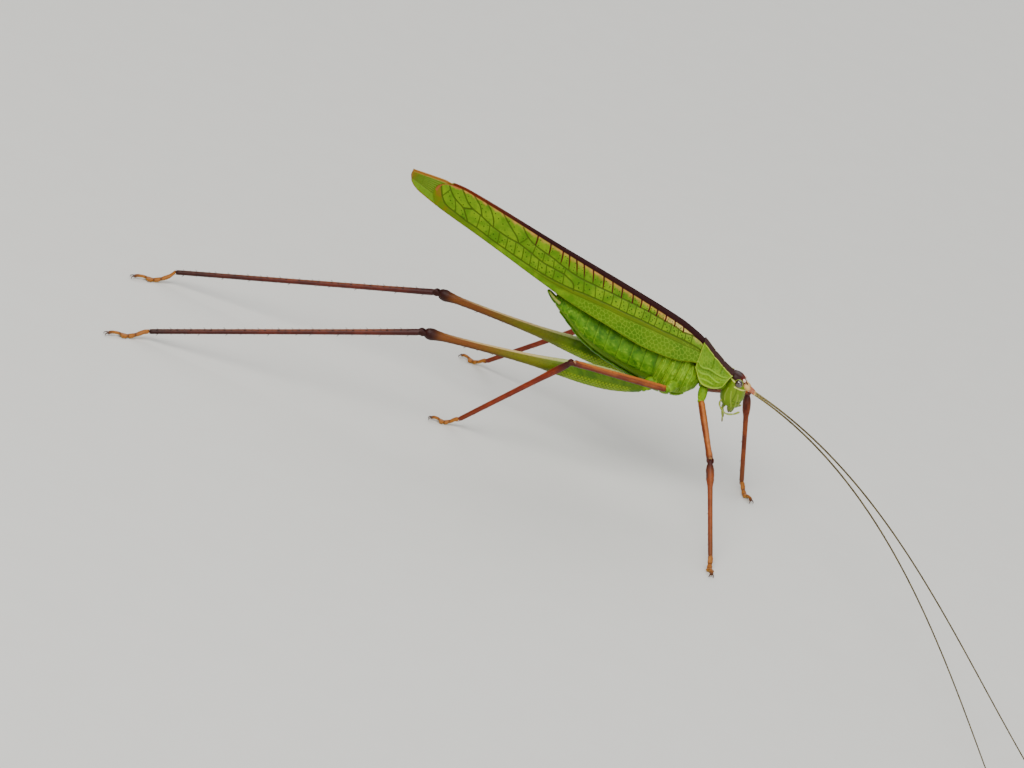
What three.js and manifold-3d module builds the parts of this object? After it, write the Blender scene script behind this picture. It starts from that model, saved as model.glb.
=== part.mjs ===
// A life-size, standing long-horned grasshopper (a slender leaf katydid), as a still museum model.
// Millimetres. +X runs from tail to head, +Y to the insect's left, +Z up, with the floor at Z = 0.
// Every piece of the skeleton is a closed solid of its own, and neighbours meet with a hair of clearance.

import * as THREE from "three";
import { mergeVertices } from "three/addons/utils/BufferGeometryUtils.js";
import Module from "manifold-3d";

const wasm = await Module();
wasm.setup();

// The clearance between neighbours, and how much thicker than life the thinnest parts are kept.
const gap = 0.06;
const sheetThickness = 0.5;
const feelerRadius = 0.25;
// A cutter is its own piece grown by this much, which leaves a hair of clearance round it.
const cutterGrowth = 1.02;

const colour = {
  green: 0x6f9a1c,
  abdomen: 0x5d9412,
  wing: 0x7a9a25,
  stripe: 0x3b2326,
  face: 0x83a03a,
  eye: 0x4a2a2c,
  cream: 0xd9c79a,
  legBrown: 0x8c3b1e,
  hindFemur: 0x7c7a24,
  tarsus: 0xb0682c,
  antenna: 0x3d3a1c,
};

const skin = (hex, roughness = 0.5) =>
  new THREE.MeshStandardMaterial({ color: hex, roughness, metalness: 0 });

const insect = new THREE.Group();
const pieces = new Map();

function addPiece(name, geometry, material) {
  const piece = new THREE.Mesh(geometry, material);
  piece.name = name;
  pieces.set(name, piece);
  insect.add(piece);
  return piece;
}

// ---- shape helpers ----

// A smooth curve y(x) through a few [x, y] stations, flat beyond its ends.
function smooth(stations) {
  const points = [...stations].sort((a, b) => a[0] - b[0]);
  const slope = points.map((p, i) => {
    const before = points[Math.max(i - 1, 0)];
    const after = points[Math.min(i + 1, points.length - 1)];
    return (after[1] - before[1]) / (after[0] - before[0]);
  });
  return (x) => {
    const last = points.length - 1;
    if (x <= points[0][0]) return points[0][1];
    if (x >= points[last][0]) return points[last][1];
    const i = points.findIndex((p) => p[0] > x) - 1;
    const span = points[i + 1][0] - points[i][0];
    const t = (x - points[i][0]) / span;
    const rise = points[i + 1][1] - points[i][1];
    const ease = t * t * (3 - 2 * t);
    const into = t * (1 - t) * (1 - t) * slope[i] * span;
    const out = t * t * (t - 1) * slope[i + 1] * span;
    return points[i][1] + rise * ease + into + out;
  };
}

// A clean closed surface: only positions, shared vertices merged, faces pointing out.
function closed(geometry) {
  const bare = geometry.clone();
  bare.deleteAttribute("normal");
  bare.deleteAttribute("uv");
  const merged = mergeVertices(bare, 1e-4);
  if (signedVolume(merged) < 0) {
    const faces = merged.index.array;
    for (let i = 0; i < faces.length; i += 3) {
      [faces[i + 1], faces[i + 2]] = [faces[i + 2], faces[i + 1]];
    }
  }
  return merged;
}

function signedVolume(geometry) {
  const spot = geometry.attributes.position;
  const corner = [new THREE.Vector3(), new THREE.Vector3(), new THREE.Vector3()];
  let sum = 0;
  for (let i = 0; i < geometry.index.count; i += 3) {
    corner.forEach((c, k) => c.fromBufferAttribute(spot, geometry.index.getX(i + k)));
    sum += corner[0].dot(corner[1].clone().cross(corner[2]));
  }
  return sum / 6;
}

// Moves every vertex of a geometry to where place() says.
function reshape(geometry, place) {
  const spot = geometry.attributes.position;
  const v = new THREE.Vector3();
  for (let i = 0; i < spot.count; i++) {
    v.fromBufferAttribute(spot, i);
    const moved = place(v);
    spot.setXYZ(i, moved.x, moved.y, moved.z);
  }
  return closed(geometry);
}

// A capped cylinder whose rings are carried to the places that ringPoint(share, angle) gives.
function loft(rings, around, ringPoint, centre) {
  const barrel = new THREE.CylinderGeometry(1, 1, 1, around, rings);
  return reshape(barrel, (v) => {
    const share = 0.5 - v.y;
    const middle = centre(share);
    if (Math.hypot(v.x, v.z) < 0.5) return middle;
    return ringPoint(share, Math.atan2(v.x, v.z));
  });
}

// A body section between two planes of constant X, from its top, bottom and half width along X.
// The upper half of each ring is drawn in, because the trunk is keel-shaped under the roof of the wings.
function trunk({ from, to, top, bottom, half, pinch }, rings, around) {
  const topAt = smooth(top);
  const bottomAt = smooth(bottom);
  const halfAt = smooth(half);
  const xAt = (share) => THREE.MathUtils.lerp(from, to, share);
  const centre = (share) =>
    new THREE.Vector3(xAt(share), 0, (topAt(xAt(share)) + bottomAt(xAt(share))) / 2);
  const ringPoint = (share, angle) => {
    const x = xAt(share);
    const tall = (topAt(x) - bottomAt(x)) / 2;
    const up = Math.cos(angle);
    const draw = 1 - pinch * Math.max(0, up);
    return new THREE.Vector3(x, Math.sin(angle) * halfAt(x) * draw, centre(share).z + up * tall);
  };
  return loft(rings, around, ringPoint, centre);
}

// A thin plate from a unit box: its outer and inner skins are given as functions of (along, across).
function plate(along, across, outer, inner) {
  const slab = new THREE.BoxGeometry(1, 1, 1, along, across, 1);
  return reshape(slab, (v) => (v.z > 0 ? outer : inner)(v.x + 0.5, v.y + 0.5));
}

// A limb between two points: a lathe turned from [share, radius] stations, pressed flat by flatten.
function limb(start, end, profile, sides, flatten = 1) {
  const axis = new THREE.Vector3().subVectors(end, start);
  const turned = profile.map(([share, r]) => new THREE.Vector2(r, share * axis.length()));
  const whole = new THREE.LatheGeometry(turned, sides);
  whole.scale(1, 1, flatten);
  const out = axis.clone().normalize();
  const wide = new THREE.Vector3(0, 0, 1).cross(out).normalize();
  const tall = new THREE.Vector3().crossVectors(out, wide);
  whole.applyMatrix4(new THREE.Matrix4().makeBasis(tall, out, wide).setPosition(start));
  return closed(whole);
}

// A round feeler along a list of points, its radius given along its length.
function feeler(points, radiusAt, sides) {
  const curve = new THREE.CatmullRomCurve3(points);
  const steps = points.length - 1;
  const frames = curve.computeFrenetFrames(steps, false);
  const at = (share) => Math.round(share * steps);
  const centre = (share) => points[at(share)].clone();
  const ringPoint = (share, angle) =>
    centre(share)
      .addScaledVector(frames.normals[at(share)], Math.cos(angle) * radiusAt(share))
      .addScaledVector(frames.binormals[at(share)], Math.sin(angle) * radiusAt(share));
  return loft(steps, sides, ringPoint, centre);
}

// ---- joins and cuts ----

function toSolid(geometry) {
  const mesh = new wasm.Mesh({
    numProp: 3,
    vertProperties: new Float32Array(geometry.attributes.position.array),
    triVerts: new Uint32Array(geometry.index.array),
  });
  return new wasm.Manifold(mesh);
}

function toGeometry(solid) {
  const mesh = solid.getMesh();
  const geometry = new THREE.BufferGeometry();
  const spots = new Float32Array(mesh.vertProperties);
  geometry.setAttribute("position", new THREE.BufferAttribute(spots, 3));
  geometry.setIndex(new THREE.BufferAttribute(new Uint32Array(mesh.triVerts), 1));
  return geometry;
}

// The same closed shape, grown a little about its own middle, to cut with.
function grown(geometry, factor = cutterGrowth) {
  const bigger = geometry.clone();
  bigger.computeBoundingBox();
  const middle = bigger.boundingBox.getCenter(new THREE.Vector3());
  bigger.translate(-middle.x, -middle.y, -middle.z);
  bigger.scale(factor, factor, factor);
  bigger.translate(middle.x, middle.y, middle.z);
  return bigger;
}

// What is left of one shape once others are cut away: its largest piece.
function cutBy(geometry, ...cutters) {
  const left = cutters.reduce((solid, c) => solid.subtract(toSolid(c)), toSolid(geometry));
  const bodies = left.decompose().sort((a, b) => b.volume() - a.volume());
  return toGeometry(bodies[0]);
}

const point = (x, y, z) => new THREE.Vector3(x, y, z);

// The unit direction at a heading from +X towards the given side, and a pitch above the level.
function direction(heading, pitch, side) {
  const h = THREE.MathUtils.degToRad(heading);
  const p = THREE.MathUtils.degToRad(pitch);
  return point(Math.cos(h) * Math.cos(p), side * Math.sin(h) * Math.cos(p), Math.sin(p));
}

const sides = [
  ["right", -1],
  ["left", 1],
];

// ---- trunk ----

const thorax = {
  from: 12.55,
  to: 17.25,
  top: [[12.5, 16.1], [14.5, 16.0], [16.2, 15.3], [17.3, 14.5]],
  bottom: [[12.5, 10.2], [14.3, 10.05], [16, 10.5], [17.3, 11.7]],
  half: [[12.5, 1.8], [14.3, 1.92], [16, 1.7], [17.3, 1.2]],
  pinch: 0.42,
};
const abdomen = {
  from: 1.3,
  to: 12.55 - gap,
  top: [[1.2, 16.0], [3, 16.2], [6, 15.5], [9, 15.4], [12.5, 15.7]],
  bottom: [[1.2, 15.1], [3, 13.7], [5, 12.3], [8, 11.2], [12.5, 10.25]],
  half: [[1.2, 0.55], [3, 1.0], [6, 1.45], [9, 1.65], [12.5, 1.75]],
  pinch: 0.42,
};
const neck = {
  from: 17.25 + gap,
  to: 19.78,
  top: [[17.3, 15.2], [18.6, 14.7], [19.8, 14.2]],
  bottom: [[17.3, 11.9], [18.4, 12.1], [19.8, 12.6]],
  half: [[17.3, 1.15], [18.5, 1.2], [19.8, 1.05]],
  pinch: 0.15,
};
const thoraxShape = trunk(thorax, 6, 16);
const abdomenShape = trunk(abdomen, 12, 16);
const neckShape = trunk(neck, 4, 14);
addPiece("pterothorax", thoraxShape, skin(colour.green));
addPiece("abdomen", abdomenShape, skin(colour.abdomen));
addPiece("prothorax", neckShape, skin(colour.green));

// The last plate under the abdomen, and the pair of cerci that point up behind it.
const lastPlate = {
  root: [abdomen.from - gap, 0, 15.35],
  tip: [0.15, 0, 16.15],
  radius: [[0, 0], [0.02, 0.42], [0.6, 0.34], [1, 0.25], [1, 0]],
};
const cercus = {
  root: [1.55, 0.95, 15.6],
  heading: 172,
  pitch: 24,
  length: 1.6,
  radius: [[0, 0], [0.02, 0.27], [0.6, 0.25], [0.97, 0.25], [1, 0]],
};
const lastPlateShape = limb(point(...lastPlate.root), point(...lastPlate.tip), lastPlate.radius, 10);
addPiece("subgenital_plate", cutBy(lastPlateShape, grown(abdomenShape)), skin(colour.abdomen));
for (const [name, side] of sides) {
  const [x, y, z] = cercus.root;
  const root = point(x, side * y, z);
  const tip = root.clone().addScaledVector(direction(cercus.heading, cercus.pitch, side), cercus.length);
  const whole = limb(root, tip, cercus.radius, 8);
  addPiece(`cercus_${name}`, cutBy(whole, grown(abdomenShape, 1.03)), skin(colour.cream));
}

// ---- pronotum: a saddle over the prothorax, with a flat top and two deep side lobes ----

const saddle = {
  rear: 16.5,
  front: 19.95,
  slant: 0.5, // how far the front margin falls back towards the lobe's foot
  top: [[16.5, 16.35], [17.6, 15.85], [18.8, 15.35], [20, 14.95]],
  foot: [[16.5, 14.4], [17.4, 13.1], [18.4, 12.92], [19.2, 13.15], [20, 13.9]],
  discHalf: 0.95,
  discShare: 0.32, // the part of each half's width that lies on the flat top
  discFall: 0.12, // how much lower the disc's edge is than the middle line
  lobeHalf: 1.72,
  thickness: 0.45,
};
const saddleTop = smooth(saddle.top);
const saddleFoot = smooth(saddle.foot);
// across runs from the foot of the right lobe, over the top, to the foot of the left one
function saddlePoint(along, across, depth) {
  const side = Math.sign(across - 0.5);
  const outward = Math.abs(across - 0.5) * 2; // 0 on the back's middle line, 1 at the foot
  const onDisc = Math.min(1, outward / saddle.discShare);
  const onLobe = Math.max(0, (outward - saddle.discShare) / (1 - saddle.discShare));
  const x = THREE.MathUtils.lerp(saddle.rear, saddle.front, along) - saddle.slant * along * onLobe;
  const edge = saddleTop(x) - saddle.discFall;
  const bulge = Math.sin((onLobe * Math.PI) / 2);
  const half = onDisc * THREE.MathUtils.lerp(saddle.discHalf, saddle.lobeHalf, bulge);
  const inward = depth * THREE.MathUtils.lerp(0.3, 1, onDisc);
  const z = onLobe > 0
    ? THREE.MathUtils.lerp(edge, saddleFoot(x), onLobe)
    : saddleTop(x) - saddle.discFall * onDisc ** 2;
  return point(x, side * Math.max(0, half - inward), z - depth * (1 - onLobe));
}
const pronotumShape = cutBy(
  plate(
    8,
    14,
    (u, v) => saddlePoint(u, v, 0),
    (u, v) => saddlePoint(u, v, saddle.thickness),
  ),
  grown(neckShape),
  grown(thoraxShape),
);
addPiece("pronotum", pronotumShape, skin(colour.stripe));

// ---- head ----

// The head hangs upright: sections level with the floor, from the crown down to the mouth.
const head = {
  top: 14.85,
  bottom: 11.3,
  back: [
    [11.3, 20.25], [11.8, 19.95], [12.5, 19.84], [13.2, 19.86], [13.9, 20.02], [14.5, 20.05], [14.85, 20.35],
  ],
  front: [
    [11.3, 21.5], [12.4, 21.72], [13.2, 21.78], [13.8, 21.85], [14.3, 21.7], [14.6, 21.3], [14.85, 20.8],
  ],
  half: [[11.3, 0.9], [11.8, 1.1], [12.6, 1.2], [13.4, 1.15], [14.0, 1.0], [14.5, 0.8], [14.85, 0.35]],
};
const eye = { x: 21.25, y: 0.98, z: 13.95, wide: 0.4, deep: 0.36, tall: 0.44 };
const headBack = smooth(head.back);
const headFront = smooth(head.front);
const headHalf = smooth(head.half);
const headLevel = (share) => THREE.MathUtils.lerp(head.top, head.bottom, share);
const headMiddle = (share) => {
  const z = headLevel(share);
  return point((headBack(z) + headFront(z)) / 2, 0, z);
};
const headRim = (share, angle) => {
  const middle = headMiddle(share);
  const long = (headFront(middle.z) - headBack(middle.z)) / 2;
  return middle.add(point(Math.cos(angle) * long, Math.sin(angle) * headHalf(middle.z), 0));
};
const headRaw = loft(9, 18, headRim, headMiddle);
const eyeShapes = {};
for (const [name, side] of sides) {
  const ball = closed(new THREE.SphereGeometry(1, 12, 8));
  ball.scale(eye.wide, eye.deep, eye.tall);
  ball.translate(eye.x, side * eye.y, eye.z);
  eyeShapes[name] = ball;
}

// The feelers: a stout scape on the brow, then a thread that turns steadily, as a heading and a pitch
// that change along its length. Both sweep round to the right and sink almost to the floor.
const antenna = {
  steps: 36,
  right: {
    socket: [21.7, -0.45, 13.85],
    scape: [23.0, -0.78, 13.45],
    length: 59,
    heading: [-35.6, -50.2, 18.8],
    pitch: [0.9, -57, 46.7],
  },
  left: {
    socket: [21.7, 0.45, 13.85],
    scape: [23.0, 0.12, 13.3],
    length: 62,
    heading: [-32.5, -57, 37],
    pitch: [-0.1, -50.4, 42.1],
  },
};
const scapeRadius = [[0, 0], [0.02, 0.3], [0.3, 0.33], [0.55, 0.3], [0.7, 0.26], [0.97, 0.26], [1, 0]];
function antennaPoints({ scape, length, heading, pitch }) {
  const bend = (k, share) => k[0] + k[1] * share + k[2] * share * share;
  const way = (share) => direction(bend(heading, share), bend(pitch, share), 1);
  const points = [point(...scape).addScaledVector(way(0), gap)];
  for (let i = 0; i < antenna.steps; i++) {
    points.push(points[i].clone().addScaledVector(way((i + 0.5) / antenna.steps), length / antenna.steps));
  }
  return points;
}
const scapeShapes = {};
const antennaShapes = {};
for (const [name] of sides) {
  const { socket, scape } = antenna[name];
  const thread = feeler(antennaPoints(antenna[name]), () => feelerRadius, 6);
  const stout = limb(point(...socket), point(...scape), scapeRadius, 10);
  scapeShapes[name] = stout;
  antennaShapes[name] = cutBy(thread, grown(stout));
}

const headShape = cutBy(
  headRaw,
  ...Object.values(eyeShapes).map((s) => grown(s, 1.06)),
  ...Object.values(scapeShapes).map((s) => grown(s)),
);
addPiece("head", headShape, skin(colour.face));
for (const [name] of sides) {
  addPiece(`eye_${name}`, eyeShapes[name], skin(colour.eye, 0.15));
  addPiece(`scape_${name}`, scapeShapes[name], skin(colour.cream));
  addPiece(`antenna_${name}`, antennaShapes[name], skin(colour.antenna));
}

// ---- mouthparts, hanging under the face ----

// Each is given from the middle of the mouth, as offsets [x, y, z] and [share, radius] stations.
const mouth = point(20.9, 0, head.bottom);
const fromMouth = ([x, y, z], side = 1) => mouth.clone().add(point(x, side * y, z));
const labrum = {
  from: [0.42, 0, 0.1],
  to: [0.3, 0, -0.8],
  radius: [[0, 0], [0, 0.52], [0.5, 0.52], [0.92, 0.34], [1, 0]],
  flatten: 0.5,
};
const labium = {
  from: [-0.56, 0, 0.1],
  to: [-0.66, 0, -0.75],
  radius: [[0, 0], [0, 0.5], [0.5, 0.45], [0.95, 0.28], [1, 0]],
  flatten: 0.6,
};
const mandible = {
  from: [-0.05, 0.66, 0.1],
  to: [0.02, 0.36, -0.85],
  radius: [[0, 0], [0, 0.32], [0.55, 0.28], [0.95, 0.2], [1, 0]],
};
const palp = {
  path: [[-0.55, 0.95, 0.3], [-0.85, 1.12, -0.35], [-0.55, 1.2, -1.0], [0.15, 1.0, -1.25]],
  steps: 10,
};
const labrumShape = limb(fromMouth(labrum.from), fromMouth(labrum.to), labrum.radius, 12, labrum.flatten);
const labiumShape = limb(fromMouth(labium.from), fromMouth(labium.to), labium.radius, 10, labium.flatten);
addPiece("labrum", cutBy(labrumShape, grown(headRaw)), skin(colour.face));
addPiece("labium", cutBy(labiumShape, grown(headRaw)), skin(colour.face));
for (const [name, side] of sides) {
  const jaw = limb(fromMouth(mandible.from, side), fromMouth(mandible.to, side), mandible.radius, 8);
  const jawCutters = [grown(headRaw), grown(labrumShape, 1.06), grown(labiumShape, 1.06)];
  addPiece(`mandible_${name}`, cutBy(jaw, ...jawCutters), skin(colour.face));
  const path = new THREE.CatmullRomCurve3(palp.path.map((p) => fromMouth(p, side)));
  const feel = feeler(path.getPoints(palp.steps), () => feelerRadius, 6);
  addPiece(`palp_${name}`, cutBy(feel, grown(headRaw), grown(jaw, 1.04)), skin(colour.cream));
}

// ---- wings ----

// Each wing is a roof: a narrow flat back beside the middle line, then a tall side panel. The front
// wing covers it down to a slanting line near the end, and behind that the folded hind wing shows.
const wing = {
  root: 16.35,
  tip: -16.35,
  ridge: [
    [16.4, 16.4], [13.5, 17.7], [8.3, 19.05], [0, 20.85], [-10.4, 23.15], [-12.8, 23.3], [-16.35, 23.25],
  ],
  margin: [
    [16.4, 15.1], [13.5, 14.7], [8.3, 15.15], [2.8, 16.2], [-3.9, 18.2], [-10.4, 19.95],
    [-12.9, 20.75], [-14.6, 21.5], [-15.8, 22.3], [-16.35, 22.9],
  ],
  backHalf: [[16.4, 1.0], [13.5, 1.05], [5, 0.85], [-3, 0.66], [-16.35, 0.58]],
  marginHalf: [[16.4, 1.7], [13.5, 2.1], [8.3, 1.9], [2.8, 1.4], [-3.9, 0.95], [-16.35, 0.58]],
  backShare: 0.2, // the part of the plate's width that lies on the back
  crown: 0.1, // how much higher the middle line is than the back's edge
  bulge: 0.12, // how far the side panel swells, as a share of the back's half width
  innerHalf: 0.04, // how near to the middle line each wing comes
  innerStep: 0.02, // each part of the inner skin keeps a little further out than the last
  parting: { x: -13.7, z: 22, lean: 58 }, // where the front wing ends, and that edge's angle above the level
};
const ridgeAt = smooth(wing.ridge);
const marginAt = smooth(wing.margin);
const backHalfAt = smooth(wing.backHalf);
const marginHalfAt = smooth(wing.marginHalf);
function wingPoint(along, across, side, depth) {
  const x = THREE.MathUtils.lerp(wing.root, wing.tip, along);
  const ridge = ridgeAt(x);
  const back = backHalfAt(x);
  if (across <= wing.backShare) {
    const t = across / wing.backShare;
    const y = Math.max(wing.innerHalf + wing.innerStep * t, (back - depth) * t);
    return point(x, side * y, ridge + wing.crown * (1 - t) - depth);
  }
  const t = (across - wing.backShare) / (1 - wing.backShare);
  const swell = wing.bulge * back * Math.sin(Math.PI * t);
  const y = THREE.MathUtils.lerp(back, marginHalfAt(x), t) + swell - depth;
  const innermost = wing.innerHalf + wing.innerStep * (1 + t);
  const z = THREE.MathUtils.lerp(ridge - depth * (1 - t) ** 2, marginAt(x), t);
  return point(x, side * Math.max(innermost, y), z);
}

// Parts a solid along a slanting plane across X, with a thin gap: the front piece, then the rear one.
function parted(geometry, { x, z, lean }) {
  const angle = THREE.MathUtils.degToRad(lean);
  const normal = [Math.sin(angle), 0, Math.cos(angle)];
  const offset = normal[0] * x + normal[2] * z;
  const whole = toSolid(geometry);
  const front = whole.trimByPlane(normal, offset + gap / 2);
  const rear = whole.trimByPlane(normal.map((n) => -n), -offset + gap / 2);
  return [toGeometry(front), toGeometry(rear)];
}

for (const [name, side] of sides) {
  const whole = plate(
    28,
    8,
    (u, v) => wingPoint(u, v, side, 0),
    (u, v) => wingPoint(u, v, side, sheetThickness),
  );
  const [front, rear] = parted(whole, wing.parting);
  const frontShape = cutBy(front, grown(pronotumShape), grown(thoraxShape), grown(abdomenShape));
  addPiece(`front_wing_${name}`, frontShape, skin(colour.wing));
  addPiece(`hind_wing_${name}`, rear, skin(colour.wing));
}

// ---- legs ----

// Lengths of the three long parts of each pair, and the radii along them as [share, radius].
const legKinds = {
  fore: {
    femur: 7.0,
    tibia: 9.7,
    tarsus: 2.6,
    femurRadius: [[0, 0], [0.03, 0.34], [0.3, 0.36], [0.8, 0.32], [0.95, 0.36], [1, 0]],
    tibiaRadius: [[0, 0], [0.03, 0.3], [0.1, 0.42], [0.2, 0.4], [0.28, 0.27], [0.97, 0.25], [1, 0]],
    flatten: 0.9,
  },
  mid: {
    femur: 10.4,
    tibia: 14.4,
    tarsus: 2.8,
    femurRadius: [[0, 0], [0.02, 0.34], [0.3, 0.36], [0.8, 0.31], [0.96, 0.38], [1, 0]],
    tibiaRadius: [[0, 0], [0.02, 0.29], [0.12, 0.34], [0.3, 0.29], [0.97, 0.26], [1, 0]],
    flatten: 0.9,
  },
  hind: {
    femur: 22.9,
    tibia: 27.1,
    tarsus: 4.3,
    femurRadius: [
      [0, 0], [0.01, 0.45], [0.08, 0.68], [0.16, 0.88], [0.26, 0.88], [0.36, 0.74], [0.5, 0.49],
      [0.62, 0.38], [0.78, 0.33], [0.9, 0.36], [0.955, 0.52], [0.99, 0.42], [1, 0],
    ],
    tibiaRadius: [[0, 0], [0.008, 0.3], [0.03, 0.34], [0.3, 0.29], [0.98, 0.26], [1, 0]],
    flatten: 0.8,
  },
};
// Where each leg leaves the trunk, and how it is held: [heading, pitch] of the femur, the heading
// of the tibia, the ankle's height and the heading of the foot. The tibia's pitch follows from its
// length and the ankle's height over the floor.
const stance = {
  fore_right: { hip: [18.15, 1.6, 11.25], femur: [64, -28.5], tibia: 62, ankle: 0.85, tarsus: 77 },
  fore_left: { hip: [18.15, 1.6, 11.25], femur: [49.5, -8.8], tibia: -15, ankle: 0.9, tarsus: -55 },
  mid_right: { hip: [14.6, 2.5, 11.5], femur: [161.5, 3.5], tibia: 198, ankle: 0.9, tarsus: 170 },
  mid_left: { hip: [14.6, 2.5, 11.5], femur: [150, -3], tibia: 150, ankle: 0.9, tarsus: 165 },
  hind_right: { hip: [12.4, 1.9, 10.55], femur: [168, -1.1], tibia: 175.6, ankle: 0.95, tarsus: 150 },
  hind_left: { hip: [12.4, 1.9, 10.55], femur: [172, -2.4], tibia: 178, ankle: 1.4, tarsus: 207 },
};
// Where each pair's coxa starts inside the trunk.
const coxaRoots = {
  fore: [17.95, 0.95, 12.6],
  mid: [15.3, 1.15, 12.1],
  hind: [13.3, 0.95, 11.6],
};
const coxaRadius = {
  fore: [[0, 0], [0.02, 0.5], [0.5, 0.5], [0.92, 0.42], [1, 0]],
  mid: [[0, 0], [0.02, 0.7], [0.5, 0.62], [0.92, 0.42], [1, 0]],
  hind: [[0, 0], [0.02, 0.75], [0.5, 0.7], [0.92, 0.45], [1, 0]],
};
// A foot, from ankle to claws: [share of its length, height of its middle, half width, half height].
// The pads under its third segment and its tip are cut flat by the floor.
const ankleHigh = "ankle";
const footStations = [
  [0, ankleHigh, 0.25, 0.25],
  [0.2, 0.62, 0.27, 0.25],
  [0.38, 0.24, 0.3, 0.24],
  [0.52, 0.16, 0.4, 0.2],
  [0.62, 0.18, 0.38, 0.2],
  [0.7, 0.42, 0.25, 0.25],
  [0.85, 0.42, 0.25, 0.25],
  [0.95, 0.22, 0.28, 0.25],
  [1, 0.12, 0.25, 0.18],
];

function foot(ankle, heading, side, length) {
  const along = direction(heading, 0, side);
  const acrossFoot = point(0, 0, 1).cross(along);
  const last = footStations.length - 1;
  const station = (share) => footStations[Math.round(share * last)];
  const centre = (share) => {
    const [far, high] = station(share);
    const level = high === ankleHigh ? ankle.z : high;
    return point(ankle.x, ankle.y, level).addScaledVector(along, far * length);
  };
  const ringPoint = (share, angle) => {
    const [, , wide, tall] = station(share);
    return centre(share)
      .addScaledVector(acrossFoot, Math.sin(angle) * wide)
      .add(point(0, 0, Math.cos(angle) * tall));
  };
  const whole = loft(last, 8, ringPoint, centre);
  return toGeometry(toSolid(whole).trimByPlane([0, 0, 1], 0));
}

const segmentEnd = 0.4; // about the end radius of a leg's segment, for the room at a bent joint
for (const [legName, pose] of Object.entries(stance)) {
  const [kindName, sideName] = legName.split("_");
  const kind = legKinds[kindName];
  const side = sideName === "left" ? 1 : -1;
  const hip = point(pose.hip[0], side * pose.hip[1], pose.hip[2]);
  const femurWay = direction(pose.femur[0], pose.femur[1], side);
  const knee = hip.clone().addScaledVector(femurWay, kind.femur);
  const tibiaPitch = -THREE.MathUtils.radToDeg(Math.asin((knee.z - pose.ankle) / kind.tibia));
  const tibiaWay = direction(pose.tibia, tibiaPitch, side);
  const ankle = knee.clone().addScaledVector(tibiaWay, kind.tibia);
  const room = gap + segmentEnd * (1 - Math.cos(femurWay.angleTo(tibiaWay) / 2));

  const root = coxaRoots[kindName];
  const coxaRoot = point(root[0], side * root[1], root[2]);
  const coxaEnd = hip.clone().addScaledVector(femurWay, -gap);
  const coxa = limb(coxaRoot, coxaEnd, coxaRadius[kindName], 10);
  const femurStart = hip.clone().addScaledVector(femurWay, gap);
  const femurEnd = knee.clone().addScaledVector(femurWay, -room);
  const femur = limb(femurStart, femurEnd, kind.femurRadius, 10, kind.flatten);
  const tibiaStart = knee.clone().addScaledVector(tibiaWay, room);
  const tibiaEnd = ankle.clone().addScaledVector(tibiaWay, -gap);
  const tibia = limb(tibiaStart, tibiaEnd, kind.tibiaRadius, 8);
  const tarsus = foot(ankle, pose.tarsus, side, kind.tarsus);

  const trunkCutters = [thoraxShape, neckShape, abdomenShape, pronotumShape].map((s) => grown(s));
  const femurCutter = grown(femur, 1.004);
  addPiece(`${legName}_coxa`, cutBy(coxa, ...trunkCutters, femurCutter), skin(colour.green));
  addPiece(`${legName}_femur`, femur, skin(kindName === "hind" ? colour.hindFemur : colour.legBrown));
  addPiece(`${legName}_tibia`, cutBy(tibia, grown(femur, 1.002)), skin(colour.legBrown));
  const tibiaCutter = tibia.clone();
  tibiaCutter.translate(tibiaWay.x * gap, tibiaWay.y * gap, tibiaWay.z * gap);
  addPiece(`${legName}_tarsus`, cutBy(tarsus, tibiaCutter), skin(colour.tarsus));
}

// The origin: on the floor, under the middle of the whole figure.
const bounds = new THREE.Box3().setFromObject(insect);
const middle = bounds.getCenter(new THREE.Vector3());
insect.position.set(-middle.x, -middle.y, -bounds.min.z);

export default insect;
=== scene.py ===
import math

import bpy
import numpy as np
from mathutils import Matrix, Vector, kdtree


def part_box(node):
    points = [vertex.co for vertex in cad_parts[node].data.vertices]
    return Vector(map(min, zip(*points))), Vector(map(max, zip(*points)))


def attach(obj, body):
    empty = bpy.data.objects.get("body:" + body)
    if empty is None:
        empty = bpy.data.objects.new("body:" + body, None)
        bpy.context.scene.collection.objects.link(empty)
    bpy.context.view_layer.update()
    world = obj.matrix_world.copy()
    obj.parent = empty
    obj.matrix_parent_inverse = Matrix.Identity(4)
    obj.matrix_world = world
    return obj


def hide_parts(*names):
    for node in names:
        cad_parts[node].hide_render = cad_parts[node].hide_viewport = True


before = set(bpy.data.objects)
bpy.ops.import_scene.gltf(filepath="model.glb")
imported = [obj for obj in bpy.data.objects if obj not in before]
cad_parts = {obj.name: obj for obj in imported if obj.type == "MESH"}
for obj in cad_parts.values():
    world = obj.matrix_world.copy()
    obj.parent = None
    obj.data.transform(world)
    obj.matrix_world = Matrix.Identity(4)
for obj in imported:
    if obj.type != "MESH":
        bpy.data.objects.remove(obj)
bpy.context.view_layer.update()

mm = 0.001
chestRear = 12.55  # millimetres from the animal's own zero, under its middle, to the rear of the thorax
chestLow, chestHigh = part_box("pterothorax")
# Pieces are modelled in millimetres from that zero, and settle() puts them here.
home = Vector((chestLow.x - chestRear * mm, (chestLow.y + chestHigh.y) / 2, 0))
dice = np.random.default_rng(7)
sides = ((-1, "near", "right"), (1, "far", "left"))  # which way across, name of the piece, name of its node


def deselect():
    if bpy.context.object and bpy.context.object.mode != "OBJECT":
        bpy.ops.object.mode_set(mode="OBJECT")
    bpy.ops.object.select_all(action="DESELECT")


def activate(piece):
    deselect()
    piece.select_set(True)
    bpy.context.view_layer.objects.active = piece


def named(name):
    piece = bpy.context.object
    piece.name = name
    piece.data.name = name
    return piece


def modified(piece, kind, **settings):  # adds a modifier and applies it
    activate(piece)
    bpy.ops.object.modifier_add(type=kind)
    modifier = piece.modifiers[-1]
    for setting, value in settings.items():
        setattr(modifier, setting, value)
    bpy.ops.object.modifier_apply(modifier=modifier.name)
    return piece


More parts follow.
